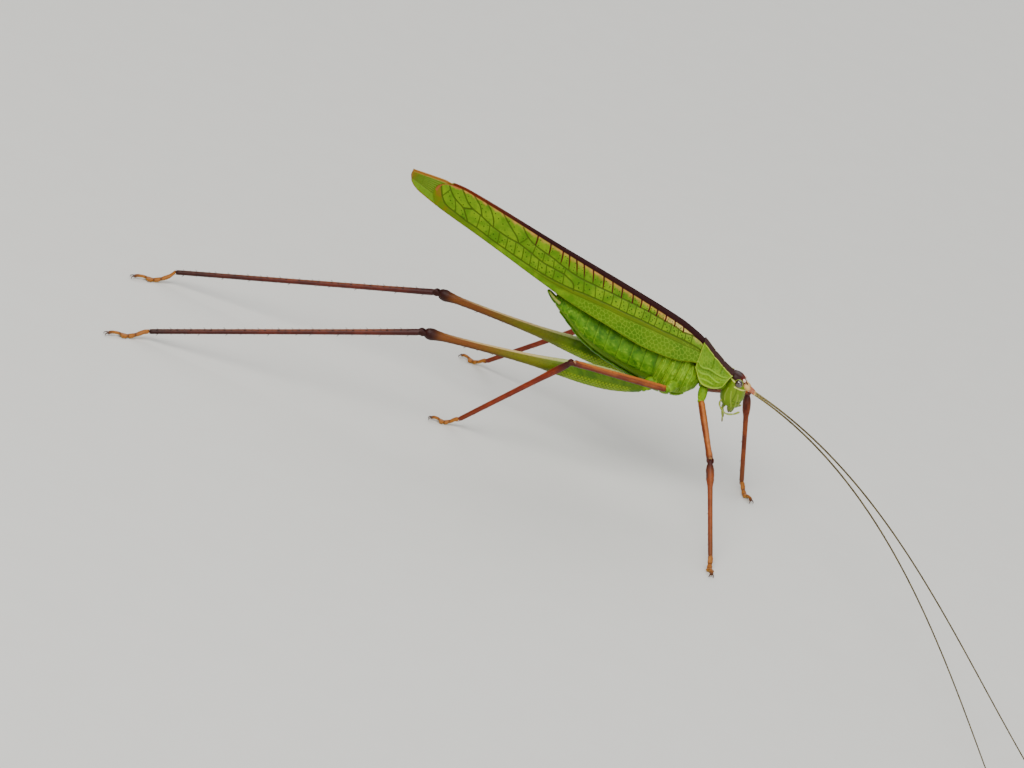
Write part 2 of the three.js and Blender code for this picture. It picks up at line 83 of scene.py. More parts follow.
def smoothed(piece, angle=50):
    activate(piece)
    bpy.ops.object.shade_smooth_by_angle(angle=math.radians(angle))
    return piece


def facedOut(piece, merge=None):  # faces turned outwards, after doubles nearer than merge are joined
    activate(piece)
    bpy.ops.object.mode_set(mode="EDIT")
    bpy.ops.mesh.select_all(action="SELECT")
    if merge:
        bpy.ops.mesh.remove_doubles(threshold=merge)
    bpy.ops.mesh.normals_make_consistent(inside=False)
    bpy.ops.object.mode_set(mode="OBJECT")
    return piece


def points(piece):
    flat = np.empty(len(piece.data.vertices) * 3)
    piece.data.vertices.foreach_get("co", flat)
    return flat.reshape(-1, 3)


def setPoints(piece, spots):
    piece.data.vertices.foreach_set("co", np.asarray(spots, float).ravel())
    piece.data.update()
    return piece


def mark(piece, name, values):  # a value for each point, which the materials read by its name
    field = piece.data.attributes.new(name, "FLOAT", "POINT")
    field.data.foreach_set("value", np.broadcast_to(np.asarray(values, float), (len(field.data),)).ravel())


def joined(name, parts):
    activate(parts[0])
    for part in parts:
        part.select_set(True)
    bpy.ops.object.join()
    return named(name)


def copied(piece, name):
    twin = piece.copy()
    twin.data = piece.data.copy()
    twin.name = twin.data.name = name
    bpy.context.scene.collection.objects.link(twin)
    return twin


def settle(piece, material, slot, *nodes):  # to metres at its place, riding on the one body
    piece.data.transform(Matrix.Translation(home) @ Matrix.Scale(mm, 4))
    piece.data.materials.clear()
    piece.data.materials.append(material)
    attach(piece, "root")
    if nodes:
        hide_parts(*nodes)
    return piece


def smooth(stations):  # an even curve through [place, value] pairs, flat beyond its ends
    xs, ys = np.array(sorted(stations), float).T
    before, after = np.maximum(np.arange(len(xs)) - 1, 0), np.minimum(np.arange(len(xs)) + 1, len(xs) - 1)
    slopes = (ys[after] - ys[before]) / (xs[after] - xs[before])

    def at(x):
        x = np.clip(x, xs[0], xs[-1])
        i = np.clip(np.searchsorted(xs, x, side="right") - 1, 0, len(xs) - 2)
        span = xs[i + 1] - xs[i]
        t = (x - xs[i]) / span
        middle = ys[i] + (ys[i + 1] - ys[i]) * t * t * (3 - 2 * t)
        return middle + t * (1 - t) ** 2 * slopes[i] * span + t * t * (t - 1) * slopes[i + 1] * span

    return at


def lerp(a, b, t):
    return a + (b - a) * t


def step(low, high, x):  # 0 below low, 1 above high, smooth between; the other way round if high is the lower
    t = np.clip((np.asarray(x, float) - low) / (high - low), 0, 1)
    return t * t * (3 - 2 * t)


def bell(x, width):  # 1 at 0, falling away on both sides
    return np.exp(-((x / width) ** 2))


def rounded(t):  # a quarter circle, from 0 up to 1
    return np.sqrt(1 - (1 - t) ** 2)


def direction(heading, pitch, side=1):
    h, p = math.radians(heading), math.radians(pitch)
    return Vector((math.cos(h) * math.cos(p), side * math.sin(h) * math.cos(p), math.sin(p)))


def throughPoints(spots, steps=8):  # a smooth line through the points given
    spots = np.asarray([tuple(spot) for spot in spots], float)
    ends = np.vstack([2 * spots[0] - spots[1], spots, 2 * spots[-1] - spots[-2]])
    line = []
    for a, b, c, d in zip(ends, ends[1:], ends[2:], ends[3:]):
        for t in np.arange(steps) / steps:
            spot = 2 * b + (c - a) * t + (2 * a - 5 * b + 4 * c - d) * t**2
            line.append(0.5 * (spot + (3 * b - a - 3 * c + d) * t**3))
    return np.array(line + [spots[-1]])


def nearLines(across, down, lines, half):  # 1 on the lines, falling to 0 at their half width
    near = np.zeros(across.shape)
    for line in lines:
        for (x0, y0), (x1, y1) in zip(line, line[1:]):
            low, high = min(x0, x1) - half, max(x0, x1) + half
            columns = np.where((across.min(1) < high) & (across.max(1) > low))[0]
            if not len(columns):
                continue
            cut = slice(columns[0], columns[-1] + 1)
            px, py = across[cut] - x0, down[cut] - y0
            dx, dy = x1 - x0, y1 - y0
            t = np.clip((px * dx + py * dy) / max(dx * dx + dy * dy, 1e-9), 0, 1)
            far = np.hypot(px - t * dx, py - t * dy) / half
            near[cut] = np.maximum(near[cut], np.clip(1 - far * far, 0, 1) ** 2)
    return near


def nearSpots(across, down, spots):  # the same for round spots, each as x, y and radius
    near = np.zeros(across.shape)
    for x, y, r in spots:
        columns = np.where((across.min(1) < x + r) & (across.max(1) > x - r))[0]
        if len(columns):
            cut = slice(columns[0], columns[-1] + 1)
            far = np.hypot(across[cut] - x, down[cut] - y) / r
            near[cut] = np.maximum(near[cut], np.clip(1 - far * far, 0, 1))
    return near


network = {"row": 0.87, "jitter": 0.3, "middle": 0.22}  # in widths of a cell


def cellWalls(across, down, pitch, wall, seed):  # the walls between irregular cells, and the cells' middles
    random, jitter = np.random.default_rng(seed), network["jitter"]
    spots = []
    for n, y in enumerate(np.arange(down.min() - pitch, down.max() + pitch, pitch * network["row"])):
        for x in np.arange(across.min() - pitch, across.max() + pitch, pitch) + (n % 2) * pitch / 2:
            dx, dy = random.uniform(-jitter, jitter), random.uniform(-jitter, jitter)
            spots.append((x + dx * pitch, y + dy * pitch, 0))
    tree = treeOf(spots)
    walls, middles = [], []
    for spot in zip(across.ravel(), down.ravel()):
        (_, _, first), (_, _, second) = tree.find_n((*spot, 0), 2)
        walls.append(1 - min(1, (second - first) / wall))
        middles.append(max(0, 1 - first / (network["middle"] * pitch)))
    return np.reshape(walls, across.shape), np.reshape(middles, across.shape)


def treeOf(spots):
    tree = kdtree.KDTree(len(spots))
    for n, spot in enumerate(spots):
        tree.insert(spot, n)
    tree.balance()
    return tree


def outwards(sheet):  # the normal at each point of a sheet of points, outward or inward by the way it is laid
    normal = np.cross(np.gradient(sheet, axis=0), np.gradient(sheet, axis=1))
    return normal / np.maximum(np.linalg.norm(normal, axis=2, keepdims=True), 1e-9)


def skin(name, sheet, marks=None, merge=0.002):  # a closed mesh from a sheet of points and a value for each
    columns, rows = sheet.shape[:2]
    deselect()
    bpy.ops.mesh.primitive_grid_add(
        x_subdivisions=columns - 1, y_subdivisions=rows - 1, size=1, location=(0.5, 0.5, 0)
    )
    bpy.ops.object.transform_apply(location=True)
    piece = named(name)
    flat = points(piece)
    i = np.rint(flat[:, 0] * (columns - 1)).astype(int)
    j = np.rint(flat[:, 1] * (rows - 1)).astype(int)
    setPoints(piece, sheet[i, j])
    for key, values in (marks or {}).items():
        mark(piece, key, np.broadcast_to(values, (columns, rows))[i, j])
    facedOut(piece, merge)
    bpy.ops.object.shade_smooth()
    return piece


def turned(name, stations, sides=14, tall=1.0, levels=1):  # a round piece along X through (place, radius)
    deselect()
    x, r = stations[0]
    turn = (0, math.pi / 2, 0)
    bpy.ops.mesh.primitive_circle_add(vertices=sides, radius=r, fill_type="NGON", rotation=turn)
    bpy.ops.object.transform_apply(rotation=True)
    piece = named(name)
    bpy.ops.object.mode_set(mode="EDIT")
    bpy.ops.mesh.select_all(action="SELECT")
    bpy.ops.transform.translate(value=(x, 0, 0))
    for (x0, r0), (x1, r1) in zip(stations, stations[1:]):
        bpy.ops.mesh.extrude_region_move(TRANSFORM_OT_translate={"value": (x1 - x0, 0, 0)})
        bpy.ops.transform.resize(value=(1, r1 / r0, r1 / r0), center_override=(x1, 0, 0))
    bpy.ops.mesh.select_all(action="SELECT")
    bpy.ops.transform.resize(value=(1, 1, tall), center_override=(0, 0, 0))
    facedOut(piece)
    if levels:
        modified(piece, "SUBSURF", levels=levels, render_levels=levels)
    return smoothed(piece)


def threadAlong(name, path, radii, sides=8):  # a round thread along points, made from a curve
    curve = bpy.data.curves.new(name, "CURVE")
    curve.dimensions = "3D"
    curve.bevel_depth = 1
    curve.bevel_resolution = max(0, sides // 2 - 2)
    curve.use_fill_caps = True
    line = curve.splines.new("POLY")
    line.points.add(len(path) - 1)
    for spot, place, r in zip(line.points, path, np.broadcast_to(radii, (len(path),))):
        spot.co = (*place, 1)
        spot.radius = r
    piece = bpy.data.objects.new(name, curve)
    bpy.context.scene.collection.objects.link(piece)
    activate(piece)
    bpy.ops.object.convert(target="MESH")
    return smoothed(named(name))


def placed(piece, start, way):  # lays a piece made along X at its place, its own Z kept upright
    wide = Vector((0, 0, 1)).cross(way).normalized()
    basis = Matrix((way, wide, way.cross(wide))).transposed().to_4x4()
    piece.data.transform(Matrix.Translation(start) @ basis)
    return piece


def tone(red, green, blue):  # a screen colour as the shader's own
    shares = [c / 255 for c in (red, green, blue)]
    return tuple(((c + 0.055) / 1.055) ** 2.4 if c > 0.04 else c / 12.92 for c in shares) + (1,)


class Value:  # a socket that takes part in sums
    def __init__(self, finish, socket):
        self.finish, self.socket = finish, socket

    def maths(self, operation, a, b):
        return self.finish.add("ShaderNodeMath", {"operation": operation}, {0: a, 1: b})

    def __add__(self, other):
        return self.maths("ADD", self, other)

    def __radd__(self, other):
        return self.maths("ADD", other, self)

    def __sub__(self, other):
        return self.maths("SUBTRACT", self, other)

    def __rsub__(self, other):
        return self.maths("SUBTRACT", other, self)

    def __mul__(self, other):
        return self.maths("MULTIPLY", self, other)

    def __rmul__(self, other):
        return self.maths("MULTIPLY", other, self)


class Finish:
    def __init__(self, name, **constants):
        self.material = bpy.data.materials.new(name)
        self.material.use_nodes = True
        self.tree = self.material.node_tree
        self.shader = self.tree.nodes["Principled BSDF"]
        for socket, value in constants.items():
            self.shader.inputs[socket.replace("_", " ")].default_value = value

    def add(self, kind, settings=None, inputs=None, output=0):
        node = self.tree.nodes.new(kind)
        for key, value in (settings or {}).items():
            setattr(node, key, value)
        for key, value in (inputs or {}).items():
            if isinstance(value, Value):
                self.tree.links.new(value.socket, node.inputs[key])
            else:
                node.inputs[key].default_value = value
        return Value(self, node.outputs[output])

    def spot(self):
        return self.add("ShaderNodeTexCoord", output="Object")

    def mark(self, name):
        return self.add("ShaderNodeAttribute", {"attribute_name": name}, output="Fac")

    def noise(self, size, detail=2, rough=0.5):  # size in millimetres
        inputs = {"Vector": self.spot(), "Scale": 1 / (size * mm), "Detail": detail, "Roughness": rough}
        return self.add("ShaderNodeTexNoise", inputs=inputs, output="Fac")

    def cells(self, size):
        inputs = {"Vector": self.spot(), "Scale": 1 / (size * mm)}
        return self.add("ShaderNodeTexVoronoi", inputs=inputs, output="Distance")

    def rise(self, value, low, high):  # 0 below low, 1 above high
        settings = {"interpolation_type": "SMOOTHSTEP", "clamp": True}
        return self.add("ShaderNodeMapRange", settings, {"Value": value, "From Min": low, "From Max": high})

    def blend(self, a, b, share):
        return self.add("ShaderNodeMix", {"data_type": "RGBA"}, {0: share, 6: a, 7: b}, 2)

    def coats(self, colour, *layers):  # each layer's colour over the last, by its share
        for tint, share in layers:
            colour = self.blend(colour, tint, share)
        return colour

    def show(self, colour, rough=None, height=None, depth=0.02, strength=0.5):  # depth in millimetres
        self.tree.links.new(colour.socket, self.shader.inputs["Base Color"])
        if rough:
            self.tree.links.new(rough.socket, self.shader.inputs["Roughness"])
        if height:
            inputs = {"Height": height, "Distance": depth * mm, "Strength": strength}
            bump = self.add("ShaderNodeBump", inputs=inputs)
            self.tree.links.new(bump.socket, self.shader.inputs["Normal"])
        return self.material


view = {"tilt": 24, "roll": 20, "away": 420, "aim": (0, 0, 5.2), "lens": 147.66, "sensor": 36}
studio = {"size": 8, "sky": (0.93, 0.95, 0.96, 1), "strength": 0.38, "aim": (0, 0, 0.01)}
lamps = {  # place in millimetres, size, watts, colour
    "key": ((-160, -330, 520), 420, 4.2, (1.0, 0.98, 0.95)),
    "fill": ((330, -420, 260), 500, 1.6, (0.95, 0.98, 1.0)),
    "back": ((60, 420, 380), 360, 1.3, (1.0, 1.0, 1.0)),
}

bpy.ops.object.camera_add()
camera = bpy.context.object
tilt, roll = math.radians(view["tilt"]), math.radians(view["roll"])
level, upright = Vector((1, 0, 0)), Vector((0, math.sin(tilt), math.cos(tilt)))
back = Vector((0, -math.cos(tilt), math.sin(tilt)))
right = level * math.cos(roll) + upright * math.sin(roll)
top = upright * math.cos(roll) - level * math.sin(roll)
place = home + (Vector(view["aim"]) + back * view["away"]) * mm
camera.matrix_world = Matrix.Translation(place) @ Matrix((right, top, back)).transposed().to_4x4()
camera.data.lens, camera.data.sensor_width = view["lens"], view["sensor"]
camera.data.clip_start, camera.data.clip_end = 0.01, 20
bpy.context.scene.camera = camera

for lamp, (place, size, watts, colour) in lamps.items():
    place = Vector(place) * mm
    turn = (Vector(studio["aim"]) - place).to_track_quat("-Z", "Y").to_euler()
    bpy.ops.object.light_add(type="AREA", location=home + place, rotation=turn)
    bpy.context.object.name = lamp
    bpy.context.object.data.size = size * mm
    bpy.context.object.data.energy = watts
    bpy.context.object.data.color = colour
world = bpy.data.worlds.new("studio")
world.use_nodes = True
world.node_tree.nodes["Background"].inputs["Color"].default_value = studio["sky"]
world.node_tree.nodes["Background"].inputs["Strength"].default_value = studio["strength"]
bpy.context.scene.world = world

deselect()
bpy.ops.mesh.primitive_plane_add(size=studio["size"], location=home)
floor = named("floor")
paper = Finish("paper", Roughness=0.9)
distance = paper.add("ShaderNodeVectorMath", {"operation": "LENGTH"}, {0: paper.spot()}, "Value")
sheetTint = paper.blend(tone(214, 213, 208), tone(218, 217, 212), paper.noise(4, 3))
# paler towards the horizon: painted light, making up for the lamps' falloff on the far floor
sheetTint = paper.blend(sheetTint, tone(249, 251, 252), paper.rise(distance, 0.45, 1.5))
floor.data.materials.append(paper.show(sheetTint))
print("stage set")

# The chart of a side panel: x along the animal, then the share of the way down from the shoulder, at 0, to
# the lower edge, at 1. Outlines run from the head backwards.
wing = {
    "ridge": [
        [17.1, 16.15], [16.4, 16.75], [15.2, 17.3], [13.5, 17.9], [8.3, 19.12], [0, 20.87],
        [-10.4, 23.15], [-12.8, 23.3], [-16.35, 23.25],
    ],
    "margin": [
        [17.1, 14.8], [16.2, 14.84], [14.6, 14.55], [12.3, 14.55], [10.4, 14.68], [8.7, 15.0],
        [7.2, 15.3], [4.55, 15.76], [2.9, 16.07], [1.3, 16.46], [-0.3, 16.9], [-2, 17.38], [-4.1, 18.01],
        [-6.5, 18.73], [-8.9, 19.43], [-11.25, 20.09], [-12.9, 20.6], [-14.6, 21.3], [-15.8, 22.1],
        [-16.35, 22.7],
    ],
    "backHalf": [
        [17.1, 0.75], [16.4, 0.8], [13.5, 0.82], [5, 0.68], [-3, 0.48], [-8, 0.36], [-12.5, 0.24],
        [-16.35, 0.2],
    ],
    "marginHalf": [
        [17.1, 1.5], [16.4, 1.7], [13.5, 2.1], [8.3, 1.9], [2.8, 1.4], [-3.9, 0.92], [-12, 0.56],
        [-16.35, 0.4],
    ],
    "end": [
        [-1, -12.0], [0, -12.25], [0.05, -12.75], [0.15, -13.25], [0.3, -13.6], [0.5, -13.75],
        [0.75, -13.6], [1, -13.1],
    ],
    "shoulder": [(17, -0.02), (-14, -0.02)],
    "peachReach": [(-12, 0.32), (-7, 0.36), (-2, 0.5), (4, 0.64), (12, 0.5)],
    "cell": 0.44,
    "cellWall": 0.075,
    "rim": 0.17,
    "root": 17.05,
    "tip": -16.33,
    "bulge": 0.12,
    "crown": 0.1,
    "inner": 0.004,
    "thick": 0.14,
    "columns": 760,
    "rows": (12, 90, 9, 5),  # over the back, down the side, up the inside, back to the middle
}
veins = {
    "upper": [
        (16.6, -0.02), (15.4, 0.02), (14.2, 0.142), (13.2, 0.137), (12.1, 0.151), (11.1, 0.157),
        (10.2, 0.165), (9.4, 0.182), (8.4, 0.201), (7.4, 0.229), (6.2, 0.251), (4.9, 0.287), (4.1, 0.309),
        (3.2, 0.332), (2.4, 0.345), (1.2, 0.333), (0.4, 0.317), (-0.4, 0.291), (-1.4, 0.285),
        (-2.6, 0.265), (-3.5, 0.19), (-4.2, 0.04),
    ],
    "middle": [
        (2.52, 0.69), (2.46, 0.63), (2.34, 0.57), (2.1, 0.525), (1.6, 0.5), (1.1, 0.48), (-0.1, 0.503),
        (-1.3, 0.528), (-3.1, 0.488), (-4.2, 0.479), (-5.2, 0.51), (-6.2, 0.514), (-7.3, 0.498),
        (-8.5, 0.425), (-9.5, 0.387), (-10.2, 0.291), (-10.8, 0.116), (-11.2, -0.02),
    ],
    "lower": [
        (16.6, 0.329), (15.8, 0.327), (15, 0.329), (13.6, 0.357), (12.2, 0.391), (11.2, 0.403),
        (10, 0.424), (9, 0.455), (7.8, 0.491), (6.6, 0.518), (5.4, 0.553), (3.7, 0.608), (2.4, 0.671),
        (1.2, 0.717), (-0.2, 0.766), (-1.3, 0.79), (-2.5, 0.809), (-4.1, 0.823), (-6.1, 0.836),
        (-7.2, 0.832), (-8.6, 0.81), (-9.7, 0.818), (-11, 0.788), (-12.1, 0.742), (-12.7, 0.568),
        (-13.0, 0.358), (-13.2, 0.188),
    ],
    "branch": [
        [(-12.55, -0.02), (-12.2, 0.19), (-11.5, 0.401), (-10.45, 0.523), (-10.0, 0.659), (-9.6, 0.803)],
        [(-9.95, -0.02), (-9.35, 0.097), (-8.85, 0.213), (-8.4, 0.424)],
        [(-8.5, -0.02), (-7.75, 0.136), (-7.25, 0.307), (-7.0, 0.497)],
        [(-6.6, -0.02), (-5.85, 0.144), (-5.1, 0.266), (-4.5, 0.358), (-4.1, 0.478)],
        [(-10.45, 0.523), (-9.9, 0.455), (-9.45, 0.387)],
    ],
    "arc": [(-13.5, 0.419), (-13.4, 0.28), (-13.15, 0.132), (-12.7, 0.047), (-12.1, 0.029), (-11.4, 0.048)],
    "under": [
        (16.4, 0.428), (15.6, 0.447), (14, 0.473), (12.2, 0.488), (10.4, 0.515), (8, 0.597), (6.1, 0.642),
        (4, 0.704), (2, 0.773), (0, 0.824), (-2, 0.852),
    ],
    "dotRows": [
        ((-12.4, 0.3), (-11.2, 0.7)), ((-11.4, 0.2), (-10.3, 0.5)), ((-10.2, 0.15), (-9.0, 0.6)),
        ((-8.9, 0.12), (-7.6, 0.42)), ((-7.2, 0.12), (-5.4, 0.45)), ((-5.6, 0.08), (-3.2, 0.38)),
        ((-10.4, 0.62), (-10.1, 0.8)), ((2.7, 0.42), (3.0, 0.6)),
    ],
}
crossVeins = {  # x at the upper end and at the lower end, in rows between two veins
    "between": {
        "first": (None, "upper"),
        "second": ("upper", "middle"),
        "secondLow": ("upper", "lower"),
        "third": ("middle", "lower"),
    },
    "first": [
        (-2.55, -2.5), (-1.1, -0.95), (0.3, 0.45), (1.0, 1.4), (1.8, 2.35), (2.65, 3.15), (3.7, 4.1),
        (4.9, 5.2), (5.9, 6.2), (7.0, 7.2), (8.2, 8.4), (9.2, 9.3), (10.15, 10.2), (11.0, 11.05),
        (12.0, 12.05), (13.0, 13.1), (14.0, 14.1),
    ],
    "second": [(-3.4, -4.1), (-2.45, -2.5), (-1.4, -1.3), (-0.3, -0.1), (1.1, 1.1)],
    "secondLow": [
        (3.2, 3.5), (4.4, 4.8), (5.4, 5.6), (6.4, 6.5), (7.3, 7.4), (8.1, 8.2), (8.9, 9.0), (9.8, 9.8),
        (10.5, 10.55), (11.2, 11.2), (12.0, 12.0), (12.8, 12.85), (13.6, 13.7), (14.4, 14.5),
        (15.1, 15.2),
    ],
    "third": [
        (-8.6, -8.55), (-7.4, -7.2), (-6.25, -6.1), (-5.3, -5.2), (-4.4, -4.2), (-3.5, -3.3),
        (-2.6, -2.4), (-1.7, -1.5), (-0.8, -0.6), (0.1, 0.2), (1.1, 1.3),
    ],
    "tip": [
        ((-11.5, 0.401), (-11.2, 0.594)), ((-11.2, 0.594), (-11.0, 0.788)),
        ((-12.2, 0.19), (-12.75, 0.52)),
    ],
}
relief = {"vein": 0.055, "cross": 0.035, "brown": 0.045, "arc": 0.03, "net": 0.028, "rim": 0.05, "pit": -0.03}
lineHalf = {"vein": 0.125, "cross": 0.1, "brown": 0.11, "arc": 0.2, "shoulder": 0.1}
dots = {  # places in a cell as shares of its half width and of its height, then radii in millimetres
    "first": [(dx, level) for level in (0.16, 0.36, 0.56, 0.76) for dx in (-0.8, 0.8)],
    "other": [(dx, level) for level in (0.27, 0.73) for dx in (-0.9, 0.9)],
    "widest": 1.7,
    "clear": 0.2,
    "radius": {"middle": (0.075, 0.1), "cell": (0.05, 0.075), "row": (0.06, 0.085)},
    "perRow": 5,
}
ridgeAt, marginAt = smooth(wing["ridge"]), smooth(wing["margin"])
backAt, footAt = smooth(wing["backHalf"]), smooth(wing["marginHalf"])
wingEndAt = smooth(wing["end"])


def depthAt(x):  # from the shoulder to the lower edge
    return np.hypot(ridgeAt(x) - marginAt(x), footAt(x) - backAt(x))


def wingSpot(x, s, t, deep, side):  # s goes from the middle line to the shoulder, t from there down the side
    back, onSide = backAt(x), t > 0
    crease = bell(t, 0.05) * bell(1 - s, 0.25) * 0.05
    y = wing["inner"] + (back - wing["inner"]) * s
    z = ridgeAt(x) + wing["crown"] * (1 - s * s) - crease
    swell = wing["bulge"] * back * np.sin(np.pi * np.clip(t, 0, 1))
    y = np.where(onSide, lerp(back, footAt(x), t) + swell, y)
    y = y - deep * np.where(onSide, 1, s * (s > 0.5)) - crease
    z = np.where(onSide, lerp(ridgeAt(x) - crease, marginAt(x), t), z)
    z = z - deep * np.where(onSide, np.exp(-t * 6), 1)
    return np.stack([x, side * np.maximum(y, wing["inner"]), z], axis=-1)


def wingEnd(t, s):  # how far back the front wing goes at each height
    return wingEndAt(np.where(t > 0, t, -(1 - s)))


def fanEnd(t, s):  # the hind wing is cut straight
    return np.full(len(t), wing["tip"])


def wingSheet(side, endAt, root, columns, rows):
    over, down, up, back = rows
    s = np.concatenate([np.linspace(0, 1, over), np.ones(down + up), np.linspace(1, 0, back)])
    downwards, upwards = np.linspace(0, 1, down + 1)[1:], np.linspace(1, 0, up)
    t = np.concatenate([np.zeros(over), downwards, upwards, np.zeros(back)])
    deep = np.concatenate([np.zeros(over + down), np.full(up + back, wing["thick"])])
    s, t, deep = (np.append(row, row[0]) for row in (s, t, deep))
    u = np.linspace(0, 1, columns)[:, None]
    taper = np.clip(np.minimum(u, 1 - u) / (1.6 / columns), 0, 1) ** 0.5
    x = lerp(root, endAt(t, s), u)
    s, t, outer = (np.broadcast_to(row, x.shape) for row in (s, t, deep == 0))
    flat = np.where(t > 0, t * depthAt(x), -(1 - s) * backAt(x))
    return wingSpot(x, s, t, deep * taper, side), x, flat, s, t, outer


def chart(line, steps=6):  # a vein's [x, share] pairs as a smooth line in millimetres
    line = throughPoints(line, steps)
    return np.stack([line[:, 0], line[:, 1] * depthAt(line[:, 0])], axis=1)


def onVein(name, x):
    return np.interp(x, *np.array(sorted(veins[name])).T)


def wingLines():  # the cross-veins, the brown ones of the first row, and the dots as (x, down, radius)
    cross, brown, found, radius = [], [], [], dots["radius"]
    for key, (top, bottom) in crossVeins["between"].items():
        ends = []
        for a, b in crossVeins[key]:
            high, low = onVein(top, a) if top else 0, onVein(bottom, b)
            bend = ((a + b) / 2 + 0.03, (high + low) / 2)
            (brown if key == "first" else cross).append(chart([(a, high), bend, (b, low)], 3))
            ends.append((a + b) / 2)
        for a, b in zip(ends, ends[1:]):
            if b - a > dots["widest"]:
                continue
            middle = (a + b) / 2
            high, low = onVein(top, middle) if top else 0.05, onVein(bottom, middle)
            places = dots["first" if key == "first" else "other"]
            if key != "first":
                x = middle + dice.uniform(-0.05, 0.05)
                found.append((x, lerp(high, low, 0.5), dice.uniform(*radius["middle"])))
            for k in dice.permutation(len(places))[: 1 + dice.integers(3) + 2 * (key == "first")]:
                dx, level = places[k]
                x = middle + dx * (0.5 * (b - a) - dots["clear"]) + dice.uniform(-0.04, 0.04)
                y = lerp(high, low, level + dice.uniform(-0.05, 0.05))
                found.append((x, y, dice.uniform(*radius["cell"])))
    for a, b in crossVeins["tip"]:
        cross.append(chart([a, b], 2))
    for (x0, t0), (x1, t1) in veins["dotRows"]:
        for share in np.linspace(0, 1, dots["perRow"]):
            x = lerp(x0, x1, share) + dice.uniform(-0.12, 0.12)
            y = lerp(t0, t1, share) + dice.uniform(-0.03, 0.03)
            found.append((x, y, dice.uniform(*radius["row"])))
    return cross, brown, [(x, y * depthAt(x), r) for x, y, r in found]


def wingMarks(side, x, flat, s, t):
    cross, brown, pits = wingLines()
    onSide, above = t > 0, t - onVein("upper", x)
    mains = [chart(line) for line in (veins["upper"], veins["middle"], veins["lower"], *veins["branch"])]
    under = nearLines(x, flat, [chart(veins["under"])], lineHalf["cross"])
    crossing = np.maximum(nearLines(x, flat, cross, lineHalf["cross"]), 0.5 * under)
    browning = nearLines(x, flat, brown, lineHalf["brown"])
    netZone = step(2.2, 4.2, x) * step(0, 0.05, t - onVein("under", x)) * step(1.0, 0.94, t)
    mesh = np.maximum(netZone, 0.6 * (step(13.6, 15, x) * step(0, 0.04, above)))
    walls, middles = cellWalls(x, flat, wing["cell"], wing["cellWall"], 3)
    below = t - onVein("lower", x)
    tail = step(0, 0.04, below) * step(-5, -11, x)
    pale = np.where(onSide, 0, step(0.12, 0.03, s)) * step(-3, -8, x)
    if side > 0:
        # on the far wing the pale also takes a band along the shoulder near the base, a painted highlight
        pale = pale + np.where(onSide, 0, step(0.75, 0.9, s)) * step(9, 12, x)
    reach = np.interp(x, *zip(*wing["peachReach"])) + 0.12 * np.sin(x * 5.7) + 0.05 * np.sin(x * 17)
    peach = step(reach, 0.1 * reach, flat) * onSide
    peach = np.maximum(peach, step(10.5, 12.5, x) * step(0.03, -0.01, above) * onSide) * step(-13.2, -12, x)
    return {
        "vein": nearLines(x, flat, mains, lineHalf["vein"]),
        "cross": np.maximum(crossing, 0.9 * browning),
        "brown": browning * step(1.5, 0.5, flat),
        "arc": nearLines(x, flat, [chart(veins["arc"])], lineHalf["arc"]),
        "net": walls * mesh,
        "rim": np.clip(1 - (1 - t) * depthAt(x) / wing["rim"], 0, 1) * onSide,
        "pit": np.maximum(nearSpots(x, flat, pits), middles * netZone * 0.22),
        "mesh": mesh,
        "band": np.maximum(step(0, 0.03, below) * step(0.16, 0.07, below) * step(-4, 2, x), 0.75 * tail),
        "stripe": np.where(onSide, step(0.1, 0.02, flat), 1),
        "rear": step(-2, -11, x),
        "pale": pale,
        "peach": peach,
        "base": step(11, 14, x),
        "scorch": tail * step(-7, -12.5, x),
    }


def frontWing(name, side):
    sheet, x, flat, s, t, outer = wingSheet(side, wingEnd, wing["root"], wing["columns"], wing["rows"])
    marks = wingMarks(side, x, flat, s, t)
    lift = sum(height * marks[key] for key, height in relief.items())
    drawn = marks["vein"] + marks["cross"] + marks["brown"] + marks["net"]
    lift = lift + 0.02 * (1 - np.clip(drawn, 0, 1)) * (t > 0)
    lift = lift + 0.03 * nearLines(x, flat, [wing["shoulder"]], lineHalf["shoulder"])
    raised = sheet + outwards(sheet) * (lift * outer)[..., None] * side
    return skin(name, raised, {key: value * outer for key, value in marks.items()})


